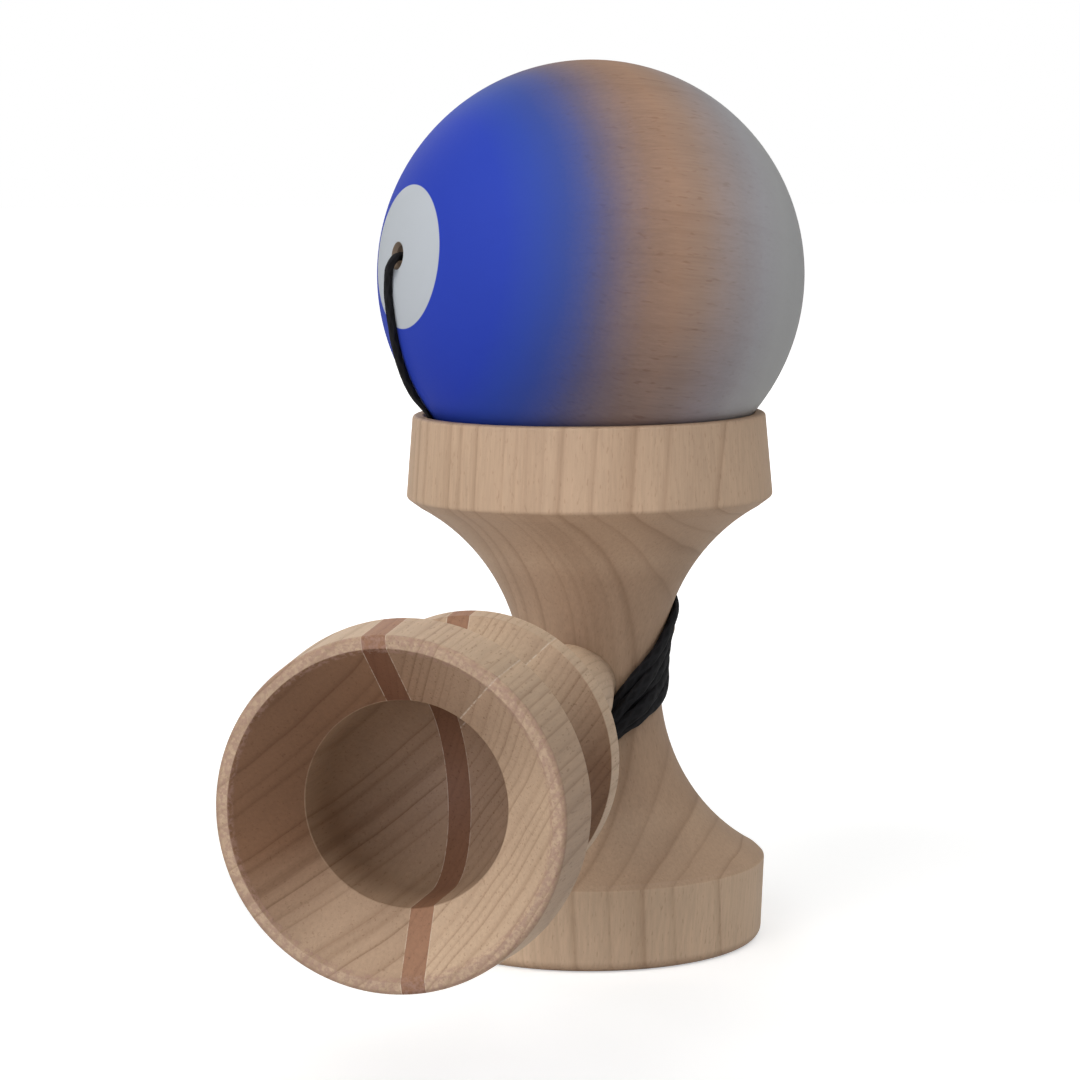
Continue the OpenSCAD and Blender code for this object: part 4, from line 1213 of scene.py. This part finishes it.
class KENDAMA_OT_string(bpy.types.Operator):
    """Lays the braided string from the bead round the waist to the stem, with its two knots"""

    bl_idname = "kendama.string"
    bl_label = "String"

    def execute(self, context):
        diameter = context.scene.kendama_string.diameter / MM
        look = string_material()
        run = smooth_run(string_route(), 0.2)
        path = [stop[0] * MM for stop in run]
        string = braided_tube("string_braid", run, diameter * PLUMP)
        check_closed(string)
        finish_piece(
            string, None, look, "string", "cord_in_ball", "cord_on_ball", "cord_behind_cup", "cord_winding",
            "cord_tail", angle=60)
        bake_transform(string)
        reach, thickness = BEAD_KNOT
        tied_run = knot_run(BALL_CENTRE + KNOT_AT * SPIKE_HOLE, SPIKE_HOLE, reach, thickness)
        knot = braided_tube("bead_knot_tied", tied_run, thickness, 12, closed=True)
        finish_piece(knot, "string_end", look, "string", "bead_knot", angle=60)
        between_x = [STEM_STRING_X + k * (STEM_KNOT_X - STEM_STRING_X) / 6 for k in range(7)]
        tail_run = smooth_run([(WAIST + x * RIGHT, UP, 1, 1) for x in between_x], 0.25)
        tail = braided_tube("stem_string", tail_run, diameter)
        reach, thickness = STEM_KNOT
        tied_run = knot_run(WAIST + STEM_KNOT_X * RIGHT, RIGHT, reach, thickness)
        tied = braided_tube("stem_knot_tied", tied_run, thickness, 12, closed=True)
        finish_piece(tail, "handle", look, "string", angle=60)
        finish_piece(tied, "handle", look, "string", "stem_knot", angle=60)
        length = sum((b - a).length for a, b in zip(path, path[1:]))
        return {"FINISHED"}


# Camera, light and floor

CAMERA_PLACE = Vector((104.18, -429.76, 111.97))
CAMERA_YAW, CAMERA_PITCH, CAMERA_ROLL = math.radians(13.743), math.radians(-6.713), math.radians(-0.544)
CAMERA_LENS, CAMERA_SENSOR = 110.54, 36
# Compass angle, height angle, power and colour of each soft lamp
LAMPS = {
    "key_lamp": (-114, 46, 5.2, (1.0, 0.99, 0.95)),
    "low_key_lamp": (-98, 9, 5.6, (0.97, 0.985, 1.07)),
    "left_lamp": (-146, 37, 3.1, (1.0, 0.99, 0.95)),
    "right_lamp": (-12, 56, 4.4, (0.98, 0.995, 1.02)),
    "low_right_lamp": (18, 16, 0.8, (0.97, 0.99, 1.05)),
    "top_lamp": (-40, 80, 2.4, (1.0, 0.98, 0.9)),
    "back_lamp": (128, 30, 2.4, (1.0, 1.0, 1.0)),
}
# Their distance from the middle of the toy, and their width, in metres
LAMP_TARGET, LAMP_DISTANCE, LAMP_WIDTH = Vector((0, 0, 0.055)), 1.2, 0.8
AMBIENT = 0.04
FLOOR_SIZE = 12


def set_camera():
    yaw, pitch, roll = CAMERA_YAW, CAMERA_PITCH, CAMERA_ROLL
    forward = Vector((-math.sin(yaw) * math.cos(pitch), math.cos(yaw) * math.cos(pitch), math.sin(pitch)))
    level = Vector((math.cos(yaw), math.sin(yaw), 0))
    above = level.cross(forward)
    right = math.cos(roll) * level + math.sin(roll) * above
    up = -math.sin(roll) * level + math.cos(roll) * above
    data = bpy.data.cameras.new("camera")
    data.lens, data.sensor_width = CAMERA_LENS, CAMERA_SENSOR
    data.clip_start, data.clip_end = 0.02, 50
    camera = bpy.data.objects.new("camera", data)
    bpy.context.scene.collection.objects.link(camera)
    placed = Matrix((right, up, -forward)).transposed().to_4x4()
    placed.translation = CAMERA_PLACE * MM
    camera.matrix_world = placed
    bpy.context.scene.camera = camera


class KENDAMA_OT_stage(bpy.types.Operator):
    """Sets the camera, the soft lamps, the pale surroundings and the floor"""

    bl_idname = "kendama.stage"
    bl_label = "Camera, light and floor"

    def execute(self, context):
        set_camera()
        for name, (azimuth, height, power, colour) in LAMPS.items():
            data = bpy.data.lights.new(name, "AREA")
            data.shape, data.size, data.energy, data.color = "DISK", LAMP_WIDTH, power, colour
            lamp = bpy.data.objects.new(name, data)
            context.scene.collection.objects.link(lamp)
            toward = aim(azimuth, height)
            lamp.location = LAMP_TARGET + LAMP_DISTANCE * toward
            lamp.rotation_euler = toward.to_track_quat("Z", "Y").to_euler()
        world = bpy.data.worlds.new("pale_room")
        context.scene.world = world
        world.use_nodes = True
        tree = world.node_tree
        tree.nodes.clear()
        level = maths(tree, "MULTIPLY_ADD", seen_straight(tree), 1 - AMBIENT, AMBIENT)
        room = add(tree, "Background", {"Color": grey(1), "Strength": level})
        tree.links.new(room.outputs[0], add(tree, "OutputWorld").inputs[0])
        deselect()
        bpy.ops.mesh.primitive_grid_add(
            x_subdivisions=4, y_subdivisions=4, size=FLOOR_SIZE, location=(0, 0, 0))
        floor = context.object
        floor.name = floor.data.name = "pale_floor"
        floor.data.materials.append(floor_material())
        context.scene.view_settings.view_transform = "Standard"
        return {"FINISHED"}


# Panel and running


class KENDAMA_PT_panel(bpy.types.Panel):
    """The kendama's pieces and settings"""

    bl_label = "Kendama"
    bl_space_type = "VIEW_3D"
    bl_region_type = "UI"
    bl_category = "Kendama"

    def draw(self, context):
        for operator in OPERATORS:
            self.layout.operator(operator.bl_idname)
        for group, kind in SETTINGS.items():
            for name in kind.__annotations__:
                self.layout.prop(getattr(context.scene, group), name)


SETTINGS = {
    "kendama_wood": WoodSettings, "kendama_string": StringSettings, "kendama_turning": TurningSettings,
}
OPERATORS = (
    KENDAMA_OT_stage, KENDAMA_OT_string, KENDAMA_OT_cross_piece, KENDAMA_OT_handle, KENDAMA_OT_ball,
    KENDAMA_OT_bead,
)


def register():
    for made in (*SETTINGS.values(), *OPERATORS, KENDAMA_PT_panel):
        bpy.utils.register_class(made)
    for name, kind in SETTINGS.items():
        setattr(bpy.types.Scene, name, PointerProperty(type=kind))


def unregister():
    for name in SETTINGS:
        delattr(bpy.types.Scene, name)
    for made in reversed((*SETTINGS.values(), *OPERATORS, KENDAMA_PT_panel)):
        bpy.utils.unregister_class(made)


def main():
    """Makes the stage and every piece."""
    register()
    bpy.ops.kendama.stage()
    bpy.ops.kendama.string()
    bpy.ops.kendama.cross_piece()
    bpy.ops.kendama.handle()
    bpy.ops.kendama.ball()
    bpy.ops.kendama.bead()


if __name__ == "__main__":
    main()
